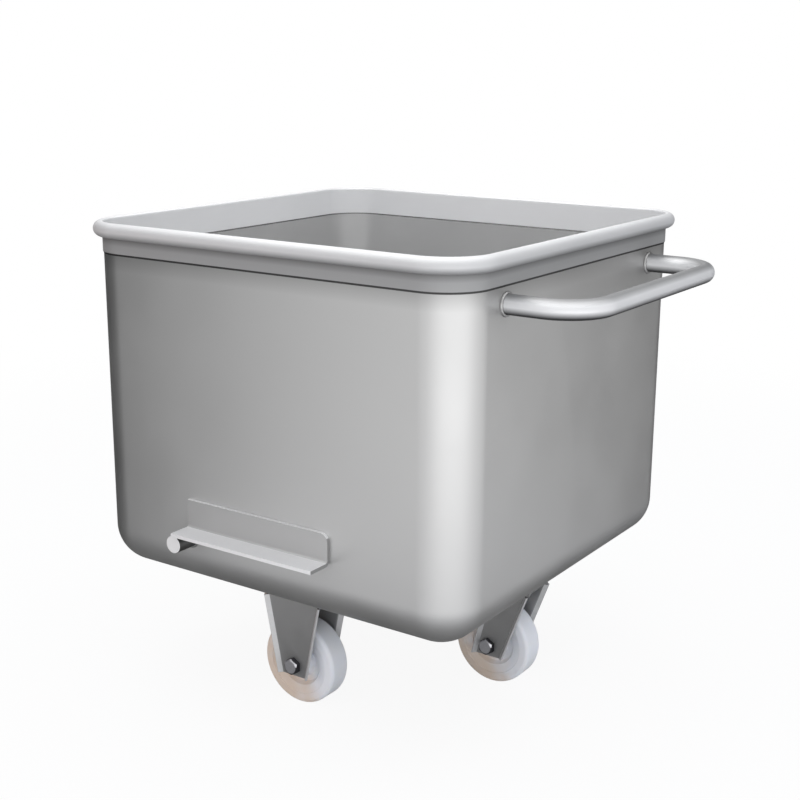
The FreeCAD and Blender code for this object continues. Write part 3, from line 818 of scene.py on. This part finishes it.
@dataclass
class PushHandle:
    """Bent tube on the rear wall, with a weld ring at each root."""

    finish: dict[str, bpy.types.Material]
    bend_radius: float = 60.0 * MM
    bend_steps: int = 24
    ring_steps: int = 40
    bead_mm: float = 2.2
    bead_out: float = 1.1 * MM
    bead_round: float = 0.6 * MM
    bead_steps: int = 64

    def __post_init__(self) -> None:
        """Read the tube's size and place from the frame."""
        low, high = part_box("push_handle")
        self.radius = (high.z - low.z) / 2
        self.z = (high.z + low.z) / 2
        self.wall = low.x
        self.bar_x = high.x - self.radius
        self.leg_y = high.y - self.radius

    def path(self) -> list[Vector]:
        """Middle line of the tube.

        Returns:
            Its points, from the wall round both bends and back to the wall.
        """
        bend_x = self.bar_x - self.bend_radius
        bend_y = self.leg_y - self.bend_radius
        flat = [(self.wall, -self.leg_y), (bend_x - self.radius / 4, -self.leg_y)]
        flat += arc((bend_x, -bend_y), self.bend_radius, -90, 0, self.bend_steps)
        flat += [(self.bar_x, -bend_y + self.radius / 4), (self.bar_x, bend_y - self.radius / 4)]
        flat += arc((bend_x, bend_y), self.bend_radius, 0, 90, self.bend_steps)
        flat += [(bend_x - self.radius / 4, self.leg_y), (self.wall, self.leg_y)]
        return [Vector((x, y, self.z)) for x, y in flat]

    def build(self) -> None:
        """Build the tube and its weld rings."""
        rings = pipe(self.path(), ALONG_Z, lambda i: self.radius, self.ring_steps)
        tube = smooth(skin("handle_tube", rings), sharp_deg=50)
        settle(tube, self.finish["tube"], "bin", "tube_stainless", "push_handle")
        for name, way in (("handle_weld_near", -1), ("handle_weld_far", 1)):
            centre = Vector((self.wall + self.bead_out, way * self.leg_y, self.z))
            seam = circle_path(centre, ALONG_Y, ALONG_Z, self.radius + self.bead_round,
                               self.bead_steps)
            bead = weld_bead(name, seam, ALONG_X, self.bead_mm, closed=True)
            settle(bead, self.finish["weld"], "bin", "tube_stainless", "handle_weld_rings")


@dataclass
class LiftingRail:
    """Folded angle on one side of the tub, with the round peg under its front end."""

    finish: dict[str, bpy.types.Material]
    side: Side
    plate: float = 5.0 * MM
    bend_radius: float = 4.0 * MM
    corner_radius: float = 12.0 * MM
    bend_steps: int = 8
    corner_steps: int = 10
    edge_mm: float = 1.1
    peg_chamfer: float = 1.0 * MM
    peg_steps: int = 56
    bead_mm: float = 1.8
    bead_out: float = 1.0 * MM
    bead_round: float = 0.4 * MM
    bead_steps: int = 60
    bead_gap: float = 2.0 * MM

    def __post_init__(self) -> None:
        """Read rail and peg from the frame."""
        self.way = self.side.outward
        self.low, self.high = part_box("lifting_rail_" + self.side.value)
        self.peg_low, self.peg_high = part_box("tipping_peg_" + self.side.value)
        self.peg_radius = (self.peg_high.x - self.peg_low.x) / 2
        self.wall = self.high.y if self.way < 0 else self.low.y
        self.depth = self.high.y - self.low.y

    def section(self) -> Section:
        """Section of the folded angle.

        Returns:
            Points as (distance from the wall, height).
        """
        outer = self.bend_radius + self.plate
        foot, top = self.low.z, self.high.z
        points = [(0.0, top)]
        points += arc((outer, foot + outer), outer, 180, 270, self.bend_steps)
        points += [(self.depth, foot), (self.depth, foot + self.plate)]
        points += arc((outer, foot + outer), self.bend_radius, 270, 180, self.bend_steps)
        return points + [(self.plate, top)]

    def rail(self) -> bpy.types.Object:
        """Build the folded angle with its rounded upper rear corner.

        Returns:
            The rail.
        """
        section = self.section()
        last = self.corner_radius
        rings = [[Vector((self.low.x, self.wall + self.way * d, z)) for d, z in section]]
        for across, up in arc((self.high.x - last, self.high.z - last), last, 90, 0,
                              self.corner_steps):
            rings.append([Vector((across, self.wall + self.way * d, min(z, up)))
                          for d, z in section])
        name = "rail_" + self.side.value
        return rounded(skin(name, rings), self.edge_mm)

    def look_of(self, face: bpy.types.MeshPolygon) -> RailLook:
        """Choose the finish of one face of the rail.

        Args:
            face: The face.

        Returns:
            The finish: the rear end was sawn, the front and the top edge were sheared and get a
                painted highlight, and the shelf gets painted light.
        """
        if face.normal.x > 0.9:
            return RailLook.SAWN_END
        upright_edge = face.normal.z > 0.1 and face.center.z > self.high.z - self.corner_radius
        front = self.way * (face.center.y - self.wall) > self.depth - self.edge_mm * MM / 2
        if front or upright_edge:
            return RailLook.EDGE
        shelf = face.normal.z > 0.9 and face.center.z < self.low.z + 2 * self.plate
        return RailLook.SHELF if shelf else RailLook.PLATE

    def peg(self) -> bpy.types.Object:
        """Build the peg as a turned bar with a faced end.

        Returns:
            The peg.
        """
        radius, chamfer = self.peg_radius, self.peg_chamfer
        x = (self.peg_high.x + self.peg_low.x) / 2
        z = (self.peg_high.z + self.peg_low.z) / 2
        length = self.peg_high.y - self.peg_low.y
        stations = [(0.0, radius), (length - chamfer, radius),
                    (length - chamfer / 3, radius - chamfer / 3), (length, radius - chamfer)]
        rings = [circle_path(Vector((x, self.wall + self.way * d, z)), ALONG_X, ALONG_Z, r,
                             self.peg_steps) for d, r in stations]
        return smooth(skin("peg_" + self.side.value, rings), sharp_deg=25)

    def build(self) -> None:
        """Build rail, peg and the peg's weld."""
        name = self.side.value
        rail = self.rail()
        for face in rail.data.polygons:
            face.material_index = self.look_of(face)
        by_look = {RailLook.PLATE: "rail", RailLook.SHELF: "shelf", RailLook.EDGE: "edge",
                   RailLook.SAWN_END: "fork"}
        finishes = [self.finish[by_look[look]] for look in RailLook]
        settle(rail, finishes, "bin", "rail_stainless", "lifting_rail_" + name)
        peg = self.peg()
        # The peg's end gets the near-white finish as painted light, and its side the dark finish as
        # painted shade.
        for face in peg.data.polygons:
            face.material_index = int(abs(face.normal.y) < 0.5)
        settle(peg, (self.finish["shelf"], self.finish["bar"]), "bin", "rail_stainless",
               "tipping_peg_" + name)
        settle(self.peg_weld(), self.finish["weld"], "bin", "rail_stainless")

    def peg_weld(self) -> bpy.types.Object:
        """Build the weld round the peg's root, as far up as the rail lets it go.

        Returns:
            The weld.
        """
        centre = middle("tipping_peg_" + self.side.value)
        centre.y = self.wall + self.way * self.bead_out
        seam = circle_path(centre, ALONG_X, ALONG_Z, self.peg_radius + self.bead_round,
                           self.bead_steps)
        lower = [p for p in seam if p.z < self.low.z - self.bead_gap]
        lower.sort(key=lambda p: math.atan2(p.x - centre.x, centre.z - p.z))
        return weld_bead("peg_weld_" + self.side.value, lower, ALONG_Y, self.bead_mm)


@dataclass
class Wheel:
    """Moulded wheel turned about Y: rounded tread, flat band, moulded lip, dish and hub."""

    finish: dict[str, bpy.types.Material]
    side: Side
    width: float = 38.0 * MM
    shoulder: float = 6.0 * MM
    band_in: float = 48.0 * MM
    lip: float = 0.8 * MM
    dish_r: float = 35.0 * MM
    dish_drop: float = 2.5 * MM
    web: float = 18.0 * MM
    hub_r: float = 21.5 * MM
    hub_end_r: float = 18.5 * MM
    lip_flat: float = 1.0 * MM
    lip_ledge: float = 2.0 * MM
    dish_round: float = 1.5 * MM
    floor_round: float = 2.0 * MM
    hub_chamfer: float = 1.0 * MM
    steps: int = 128

    def half_section(self) -> Section:
        """Outline of one half of the wheel, from the middle of the tread to the bore.

        Returns:
            Points as (radius, distance from the wheel's middle plane).
        """
        low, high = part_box("wheel_" + self.side.value)
        hub = (high.y - low.y) / 2
        radius = (high.z - low.z) / 2
        bush_low, bush_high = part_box("wheel_bush_" + self.side.value)
        bore = (bush_high.z - bush_low.z) / 2
        face = self.width / 2
        dish = face - self.lip - self.dish_drop
        points = [(radius, 0.0)]
        points += arc((radius - self.shoulder, face - self.shoulder), self.shoulder, 0, 90, 10)
        points += [(self.band_in + self.lip_flat, face), (self.band_in, face)]
        points += [(self.band_in - self.lip, face - self.lip),
                   (self.band_in - self.lip_ledge, face - self.lip)]
        small, large = self.dish_round, self.floor_round
        points.append((self.dish_r + large, dish))
        points += arc((self.dish_r + small, dish - small), small, 80, 180, 6)
        floor = self.web / 2
        points += [(self.dish_r - small, floor + large), (self.dish_r - small - large, floor)]
        points += [(self.hub_r + large, floor), (self.hub_r, floor + large)]
        points += [(self.hub_end_r, hub - self.hub_chamfer),
                   (self.hub_end_r - self.hub_chamfer, hub), (bore, hub)]
        return points

    def build(self) -> None:
        """Build the wheel."""
        centre = middle("wheel_" + self.side.value)
        half = self.half_section()
        section = [(r, -y) for r, y in half[:0:-1]] + half
        rings = [circle_path(centre + ALONG_Y * y, ALONG_X, ALONG_Z, r, self.steps)
                 for r, y in section]
        name = self.side.value
        wheel = smooth(skin("moulded_wheel_" + name, rings, wrap=True), sharp_deg=40)
        settle(wheel, self.finish["wheel"], "wheel_" + name, "polyamide", "wheel_" + name)


@dataclass
class Fork:
    """Pressed fork of one caster: folded crown and two tapered legs with flared edges."""

    finish: dict[str, bpy.types.Material]
    side: Side
    sheet: float = 3.0 * MM
    width: float = 60.0 * MM
    fold_radius: float = 4.0 * MM
    flare: float = 7.0 * MM
    flare_deg: float = 45.0
    flare_radius: float = 2.0 * MM
    foot_half: float = 18.5 * MM
    fixed_top_half: float = 42.5 * MM
    swivel_top_half: float = 25.0 * MM
    head_over_crown: float = 7.0 * MM
    leg_steps: int = 10
    flare_steps: int = 5
    edge_mm: float = 0.5

    def __post_init__(self) -> None:
        """Read the fork's height and axle from the frame."""
        low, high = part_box("fork_" + self.side.value)
        axle = middle("wheel_" + self.side.value)
        self.foot_z = low.z
        self.y = (low.y + high.y) / 2
        self.axle_x = axle.x
        if self.side.fixed:
            self.top = high.z
            self.top_x = axle.x
            self.top_half = self.fixed_top_half
        else:
            head = "swivel_head_" + self.side.value
            self.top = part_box(head)[1].z - self.head_over_crown
            self.top_x = middle(head).x
            self.top_half = self.swivel_top_half
        self.leg_top = self.top - self.fold_radius - self.sheet

    def leg_section(self, share: float) -> Section:
        """Level section through a leg.

        Args:
            share: 0 at the foot, 1 at the crown.

        Returns:
            Points as (x, distance outside the leg's outer face).
        """
        x = self.axle_x + (self.top_x - self.axle_x) * share
        half = self.foot_half + (self.top_half - self.foot_half) * share
        points: Section = []
        for way in (-1, 1):
            small = [(x + way * (half + self.flare_radius * math.sin(a)),
                      self.flare_radius * (1 - math.cos(a))) for a in self.bend_angles()]
            tip = self.tip(small[-1], way)
            run = small + [tip]
            points += run[::-1] if way < 0 else run
        large = self.flare_radius + self.sheet
        for way in (1, -1):
            big = [(x + way * (half + large * math.sin(a)),
                    self.flare_radius - large * math.cos(a)) for a in self.bend_angles()]
            run = big + [self.tip(big[-1], way)]
            points += run[::-1] if way > 0 else run
        return points

    def bend_angles(self) -> list[float]:
        """Angles through the bend of a flare."""
        return [math.radians(self.flare_deg) * i / self.flare_steps
                for i in range(self.flare_steps + 1)]

    def tip(self, end: tuple[float, float], way: int) -> tuple[float, float]:
        """Outer end of a flare that starts at the end of its bend."""
        turn = math.radians(self.flare_deg)
        return end[0] + way * self.flare * math.cos(turn), end[1] + self.flare * math.sin(turn)

    def leg(self, way: int) -> bpy.types.Object:
        """Build one leg.

        Args:
            way: Sign along Y of the leg's outer face.

        Returns:
            The leg.
        """
        rings = []
        for i in range(self.leg_steps + 1):
            share = i / self.leg_steps
            z = self.foot_z + (self.leg_top - self.foot_z) * share
            rings.append([Vector((x, self.y + way * (self.width / 2 + out), z))
                          for x, out in self.leg_section(share)])
        name = f"leg_{self.side.value}_{'outer' if way < 0 else 'inner'}"
        return skin(name, rings)

    def crown(self) -> bpy.types.Object:
        """Build the crown with its two folds.

        Returns:
            The crown.
        """
        outer = self.width / 2
        fold = self.fold_radius + self.sheet
        centre = outer - fold
        z = self.top - fold
        section = arc((centre, z), fold, 0, 90, 8) + arc((-centre, z), fold, 90, 180, 8)
        section += arc((-centre, z), self.fold_radius, 180, 90, 6)
        section += arc((centre, z), self.fold_radius, 90, 0, 6)
        large = self.flare_radius + self.sheet
        turn = math.radians(self.flare_deg)
        half = self.top_half + large * math.sin(turn) + self.flare * math.cos(turn)
        stations = [self.top_x - half, self.top_x + half]
        rings = [[Vector((x, self.y + y, z0)) for y, z0 in section] for x in stations]
        return skin("crown_" + self.side.value, rings)

    def build(self) -> None:
        """Build the fork as one piece."""
        parts = [self.crown(), self.leg(-1), self.leg(1)]
        fork = join("pressed_fork_" + self.side.value, parts)
        # The flared edges get the paler finish, which paints the light on them.
        for face in fork.data.polygons:
            face.material_index = int(0.4 < abs(face.normal.x) < 0.95)
        rounded(fork, self.edge_mm, sharp_deg=50)
        settle(fork, (self.finish["fork"], self.finish["flare"]), self.side.carrier,
               "fork_stainless", "fork_" + self.side.value)


@dataclass
class AxleBolt:
    """Hexagon bolt with a chamfered head and a cut thread at its far end."""

    finish: dict[str, bpy.types.Material]
    side: Side
    head: float = 8.8 * MM
    flats: float = 22.0 * MM
    face_share: float = 0.43
    chamfer_deg: float = 33.0
    radius: float = 7.0 * MM
    pitch: float = 2.0 * MM
    thread: float = 18.0 * MM
    thread_depth: float = 0.61
    lead_in: float = 0.8 * MM
    thread_chords: int = 10
    steps: int = 72

    def hexagon_r(self, turn: float) -> float:
        """Distance from the axis to the hexagon's side, in one direction."""
        sector = math.radians(60)
        return self.flats / 2 / math.cos((turn + sector / 2) % sector - sector / 2)

    def thread_r(self, turn: float, height: float) -> float:
        """Radius of the cut thread.

        Args:
            turn: Direction round the axis.
            height: Height above the bolt's end.

        Returns:
            The radius there.
        """
        share = (height / self.pitch - turn / (2 * math.pi)) % 1.0
        depth = self.thread_depth * self.pitch * (1 - abs(2 * share - 1))
        fade = min(1.0, height / self.pitch, (self.thread - height) / self.pitch)
        return self.radius - depth * max(0.0, fade) - max(0.0, self.lead_in - height)

    def stations(self, length: float) -> list[Callable[[float], tuple[float, float]]]:
        """Shape of the bolt along its axis, from the thread's end to the head's face.

        Args:
            length: Length over all.

        Returns:
            For each ring, a function of the direction round the axis that gives the radius
            and the height above the bolt's end.
        """
        count = round(self.thread / self.pitch * self.thread_chords)
        heights = [self.thread * i / count for i in range(count + 1)]
        shoulder = length - self.head
        face_r = self.flats * self.face_share
        slope = math.tan(math.radians(self.chamfer_deg))
        thread = [lambda turn, height=height: (self.thread_r(turn, height), height)
                  for height in heights]
        return thread + [
            lambda turn: (self.radius, shoulder),
            lambda turn: (self.hexagon_r(turn), shoulder),
            lambda turn: (self.hexagon_r(turn),
                          length - (self.hexagon_r(turn) - face_r) * slope),
            lambda turn: (face_r, length),
        ]

    def build(self) -> None:
        """Build the bolt."""
        low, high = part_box("axle_bolt_" + self.side.value)
        centre = middle("axle_bolt_" + self.side.value)
        way = self.side.outward
        end = high.y if way < 0 else low.y
        turns = [2 * math.pi * i / self.steps for i in range(self.steps)]
        stations = self.stations(high.y - low.y)
        rings = []
        for station in stations:
            ring = []
            for turn in turns:
                radius, height = station(turn)
                ring.append(Vector((centre.x + radius * math.cos(turn), end + way * height,
                                    centre.z + radius * math.sin(turn))))
            rings.append(ring)
        name = self.side.value
        bolt = smooth(skin("hex_bolt_" + name, rings), sharp_deg=25)
        hexagon_row = len(stations) - 3
        chamfer_row = hexagon_row + 1
        for face in bolt.data.polygons:
            row = face.index // self.steps
            # The lower half of the chamfer gets the dark finish as painted shade.
            painted_shade_chamfer = row == chamfer_row and face.normal.z < 0.1
            face.material_index = int(row == hexagon_row or painted_shade_chamfer)
        settle(bolt, (self.finish["fastener"], self.finish["hexagon"]), self.side.carrier,
               "fastener_stainless", "axle_bolt_" + name)


@dataclass
class PlainNodes:
    """Small and hidden pieces that keep their own solids and get a finish."""

    finish: dict[str, bpy.types.Material]
    by_start: tuple[tuple[str, str], ...] = (
        ("fixed_caster_pads", "fork"), ("swivel_caster_pads", "fork"), ("swivel_head", "fork"),
        ("lower_races", "fork"), ("swivel_balls", "ball"), ("wheel_bush", "bearing"),
        ("thrust_washers", "bearing"), ("axle", "fastener"), ("fixed", "fastener"),
        ("king", "fastener"),
    )

    def build(self) -> None:
        """Dress every node that is still shown."""
        for name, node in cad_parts.items():
            if node.hide_render:
                continue
            finish = next((f for start, f in self.by_start if name.startswith(start)), "tub")
            dress(node, self.finish[finish])
            log.info("%s keeps its solid, finish %s", name, finish)


def direction(azimuth: float, elevation: float) -> Vector:
    """Unit vector from the trolley towards an azimuth and elevation in degrees."""
    turn, tilt = math.radians(azimuth), math.radians(elevation)
    return Vector((math.sin(turn) * math.cos(tilt), -math.cos(turn) * math.cos(tilt),
                   math.sin(tilt)))


def dress_card(card: bpy.types.Object, material: bpy.types.Material,
               clear: bpy.types.NodeSocket, colour: str) -> None:
    """Make a card dark where it isn't clear, and leave it to reflections alone.

    Args:
        card: The card.
        material: Its material, with the nodes that give how clear it is.
        clear: Socket with that share.
        colour: Its dark colour.
    """
    tree = material.node_tree
    dark = add_node(tree, "ShaderNodeEmission", values={"Color": linear(colour)})
    gone = add_node(tree, "ShaderNodeBsdfTransparent")
    mix = add_node(tree, "ShaderNodeMixShader",
                   links={0: clear, 1: dark.outputs[0], 2: gone.outputs[0]})
    add_node(tree, "ShaderNodeOutputMaterial", links={"Surface": mix.outputs[0]})
    dress(card, material)
    card.visible_camera = False
    card.visible_diffuse = False
    card.visible_shadow = False


@dataclass(frozen=True)
class Softbox:
    """A soft rectangular lamp that looks at the trolley.

    Its level is the brightness of its front, where the white surroundings are 1.
    """

    name: str
    azimuth: float
    elevation: float
    distance: float
    width: float
    height: float
    level: float
    colour: str = "#FFFFFF"
    mirrored: bool = True
    spread: float = 180.0

    def build(self, target: Vector) -> None:
        """Hang the lamp, aimed at a target.

        Args:
            target: Point that it looks at.
        """
        way = direction(self.azimuth, self.elevation)
        data = bpy.data.lights.new(self.name, "AREA")
        data.shape = "RECTANGLE"
        data.size = self.width
        data.size_y = self.height
        data.energy = self.level * self.width * self.height * math.pi
        data.color = linear(self.colour)[:3]
        data.spread = math.radians(self.spread)
        lamp = bpy.data.objects.new(self.name, data)
        lamp.location = target + way * self.distance
        lamp.rotation_mode = "QUATERNION"
        lamp.rotation_quaternion = way.to_track_quat("Z", "Y")
        lamp.visible_camera = False
        lamp.visible_glossy = self.mirrored
        bpy.context.scene.collection.objects.link(lamp)


@dataclass(frozen=True)
class Flag:
    """A dark curved card beside the trolley, which its ground sheet mirrors.

    Product photographers stand such cards beside bright metal, so that its far edges turn
    dark. It stands on the floor with its foot towards the trolley, runs from the azimuth back
    to the azimuth clear, is full up to the azimuth dense and fades out from there. Only
    reflections show it.
    """

    name: str
    back: float
    dense: float
    clear: float
    colour: str
    density: float = 1.0
    radius: float = 1.35
    foot: float = 0.5
    height: float = 1.5
    steps: int = 40

    def build(self, centre: Vector) -> None:
        """Stand the card up.

        Args:
            centre: Point on the floor that it curves round.
        """
        points, faces = [], []
        for i in range(self.steps + 1):
            way = direction(self.back + (self.clear - self.back) * i / self.steps, 0)
            edge = centre + way * self.radius
            points += [centre + way * self.foot, edge, edge + Vector((0, 0, self.height))]
            if i:
                foot, edge_foot, top = 3 * i, 3 * i + 1, 3 * i + 2
                faces += [(foot - 3, edge_foot - 3, edge_foot, foot),
                          (edge_foot - 3, top - 3, top, edge_foot)]
        card = open_sheet(self.name, points, faces)
        material, tree = empty_material("graded_card_" + self.name)
        place = add_node(tree, "ShaderNodeTexCoord").outputs["Object"]
        middle_way = (self.back + self.clear) / 2
        turned = add_node(tree, "ShaderNodeMapping", {"vector_type": "TEXTURE"},
                          {"Location": centre, "Rotation": (0, 0, math.radians(middle_way - 90))},
                          {"Vector": place}).outputs["Vector"]
        axes = add_node(tree, "ShaderNodeSeparateXYZ", links={0: turned}).outputs
        azimuth = add_node(tree, "ShaderNodeMath", {"operation": "ARCTAN2"},
                           links={0: axes["Y"], 1: axes["X"]}).outputs[0]
        share = add_node(tree, "ShaderNodeMapRange", {"interpolation_type": "SMOOTHSTEP"},
                         {"From Min": math.radians(self.dense - middle_way),
                          "From Max": math.radians(self.clear - middle_way),
                          "To Min": 1 - self.density, "To Max": 1.0},
                         {"Value": azimuth}).outputs["Result"]
        dress_card(card, material, share, self.colour)


@dataclass(frozen=True)
class PaintedFloorShade:
    """A dark disc, seen only in reflections, that paints the trolley's own shade on the floor.

    The camera sees the floor lightened, and this keeps the darkness that the underside, the
    foot of the walls and the rim's lower half take from it. It is full up to the radius dense
    and gone at the radius clear.
    """

    name: str
    dense: float
    clear: float
    colour: str
    steps: int = 64

    def build(self, centre: Vector) -> None:
        """Lay the mat down.

        Args:
            centre: Its centre.
        """
        ring = circle_path(centre, ALONG_X, ALONG_Y, self.clear, self.steps)
        mat = open_sheet(self.name, ring, [range(self.steps)])
        material, tree = empty_material("graded_painted_floor_shade")
        place = add_node(tree, "ShaderNodeTexCoord").outputs["Object"]
        reach = add_node(tree, "ShaderNodeVectorMath", {"operation": "DISTANCE"}, {1: centre},
                         {0: place}).outputs["Value"]
        share = add_node(tree, "ShaderNodeMapRange", {"interpolation_type": "SMOOTHSTEP"},
                         {"From Min": self.dense, "From Max": self.clear},
                         {"Value": reach}).outputs["Result"]
        dress_card(mat, material, share, self.colour)


@dataclass
class Studio:
    """White sweep, soft lamps, dark cards and the camera."""

    floor_colour: str = "#F4F4F4"
    floor_radius: float = 12.0
    floor_steps: int = 96
    fade_start: float = 0.9
    fade_end: float = 2.6
    floor_glow: float = 0.92
    mirrored_start: float = 0.45
    mirrored_end: float = 1.3
    world_level: float = 0.7
    sky: str = "#F2F6FF"
    lamps: tuple[Softbox, ...] = (
        Softbox("corner_bank", azimuth=52.0, elevation=-6.0, distance=1.75, width=2.6,
                height=0.55, level=1.2),
        Softbox("top_bank", azimuth=20.0, elevation=88.0, distance=1.35, width=2.2, height=2.2,
                level=1.2),
        Softbox("inside_light", azimuth=0.0, elevation=90.0, distance=0.62, width=0.5,
                height=0.5, level=1.1, spread=90.0),
        Softbox("warm_fill", azimuth=-40.0, elevation=4.0, distance=2.0, width=1.2, height=0.8,
                level=1.2, colour="#FFD2AC", mirrored=False),
    )
    flags: tuple[Flag, ...] = (
        Flag("left", back=-100.0, dense=-44.0, clear=-26.0, colour="#484848"),
        Flag("right", back=182.0, dense=158.0, clear=113.0, colour="#4C4C4C"),
    )
    mat: PaintedFloorShade = PaintedFloorShade("floor_shade", dense=0.42, clear=0.85, colour="#7A7A7A")
    lamp_aim: float = 0.4
    flag_lift: float = 0.003
    painted_floor_shade_lift: float = 0.006
    azimuth: float = 34.28
    elevation: float = 14.51
    roll: float = 0.33
    distance: float = 2.0475
    target_from_tub: tuple[float, float, float] = (0.0100, 0.0055, 0.4075)
    lens: float = 60.1

    def shown_white(self, tree: bpy.types.NodeTree, lit: bpy.types.NodeSocket,
                    seen: bpy.types.NodeSocket | None = None,
                    mirrored: bpy.types.NodeSocket | None = None) -> bpy.types.NodeSocket:
        """Lay plain white over a shader for the rays that show a background.

        Args:
            tree: Node tree.
            lit: Shader that the other rays meet.
            seen: How white the camera sees it, fully white without this.
            mirrored: How white metal and glass show it, fully white without this.

        Returns:
            The mixed shader's socket.
        """
        path = add_node(tree, "ShaderNodeLightPath")
        through = add_node(tree, "ShaderNodeMath", {"operation": "MAXIMUM"},
                           links={0: path.outputs["Is Glossy Ray"],
                                  1: path.outputs["Is Transmission Ray"]}).outputs[0]
        direct = path.outputs["Is Camera Ray"]
        if seen is not None:
            direct = add_node(tree, "ShaderNodeMath", {"operation": "MULTIPLY"},
                              links={0: direct, 1: seen}).outputs[0]
        if mirrored is not None:
            through = add_node(tree, "ShaderNodeMath", {"operation": "MULTIPLY"},
                               links={0: through, 1: mirrored}).outputs[0]
        share = add_node(tree, "ShaderNodeMath", {"operation": "ADD"},
                         links={0: through, 1: direct}).outputs[0]
        white = add_node(tree, "ShaderNodeEmission", values={"Strength": 1.0})
        mix = add_node(tree, "ShaderNodeMixShader",
                       links={0: share, 1: lit, 2: white.outputs["Emission"]})
        return mix.outputs["Shader"]

    def world(self) -> None:
        """White surroundings where they are seen, and a plain soft level for the rest."""
        world = bpy.data.worlds.new("soft_surroundings")
        world.use_nodes = True
        tree = world.node_tree
        tree.nodes.clear()
        plain = add_node(tree, "ShaderNodeBackground",
                         values={"Color": linear(self.sky), "Strength": self.world_level})
        shown = self.shown_white(tree, plain.outputs["Background"])
        add_node(tree, "ShaderNodeOutputWorld", links={"Surface": shown})
        bpy.context.scene.world = world

    def floor(self) -> None:
        """Pale floor that runs out into the white surroundings."""
        around = range(self.floor_steps)
        rings = [circle_path(Vector((0, 0, 0)), ALONG_X, ALONG_Y, r, self.floor_steps)
                 for r in (1.0, self.fade_end, self.floor_radius)]
        points = [Vector((0, 0, 0))] + [point for ring in rings for point in ring]
        faces = [(0, 1 + i, 1 + (i + 1) % self.floor_steps) for i in around]
        for row in range(len(rings) - 1):
            inner = 1 + row * self.floor_steps
            outer = inner + self.floor_steps
            for i in around:
                j = (i + 1) % self.floor_steps
                faces.append((inner + i, outer + i, outer + j, inner + j))
        floor = open_sheet("pale_floor", points, faces)
        material, tree = empty_material("matt_white_floor")
        place = add_node(tree, "ShaderNodeTexCoord").outputs["Object"]
        reach = add_node(tree, "ShaderNodeVectorMath", {"operation": "LENGTH"},
                         links={0: place}).outputs["Value"]
        seen, mirrored = (
            add_node(tree, "ShaderNodeMapRange", {"interpolation_type": "SMOOTHSTEP"},
                     {"From Min": near, "From Max": far, "To Min": share, "To Max": 1.0},
                     {"Value": reach}).outputs["Result"]
            for near, far, share in ((self.fade_start, self.fade_end, self.floor_glow),
                                     (self.mirrored_start, self.mirrored_end, 0.0)))
        lit = add_node(tree, "ShaderNodeBsdfDiffuse", values={"Color": linear(self.floor_colour)})
        shown = self.shown_white(tree, lit.outputs["BSDF"], seen, mirrored)
        add_node(tree, "ShaderNodeOutputMaterial", links={"Surface": shown})
        dress(floor, material)

    def camera(self, tub_x: float) -> None:
        """Place the camera at the fitted viewing angle.

        Args:
            tub_x: Middle of the tub on X.
        """
        back = direction(self.azimuth, self.elevation)
        roll = math.radians(self.roll)
        level = ALONG_Z.cross(back).normalized()
        upright = back.cross(level)
        right = level * math.cos(roll) + upright * math.sin(roll)
        up = upright * math.cos(roll) - level * math.sin(roll)
        target = Vector(self.target_from_tub) + Vector((tub_x, 0, 0))
        place = target + back * self.distance
        data = bpy.data.cameras.new("view")
        data.lens = self.lens
        data.sensor_width = 36.0
        data.clip_start = 0.05
        data.clip_end = 100.0
        camera = bpy.data.objects.new("view", data)
        camera.matrix_world = Matrix((
            (right.x, up.x, back.x, place.x), (right.y, up.y, back.y, place.y),
            (right.z, up.z, back.z, place.z), (0, 0, 0, 1)))
        bpy.context.scene.collection.objects.link(camera)
        bpy.context.scene.camera = camera

    def build(self, tub_x: float) -> None:
        """Set up surroundings, floor, lamps, cards and camera.

        Args:
            tub_x: Middle of the tub on X.
        """
        bpy.context.scene.view_settings.view_transform = "Standard"
        self.world()
        self.floor()
        for lamp in self.lamps:
            lamp.build(Vector((tub_x, 0, self.lamp_aim)))
        for flag in self.flags:
            flag.build(Vector((tub_x, 0, self.flag_lift)))
        self.mat.build(Vector((tub_x, 0, self.painted_floor_shade_lift)))
        self.camera(tub_x)


def main() -> None:
    """Build the trolley's pieces in order, then the studio round them."""
    logging.basicConfig(level=logging.INFO, format="%(message)s")
    finish = Finishes().build()
    tub = Tub(finish)
    tub.build()
    PushHandle(finish).build()
    for side in (Side.LEFT, Side.RIGHT):
        LiftingRail(finish, side).build()
    for side in Side:
        Fork(finish, side).build()
        Wheel(finish, side).build()
        AxleBolt(finish, side).build()
    PlainNodes(finish).build()
    Studio().build(tub.x)


if __name__ == "__main__":
    main()
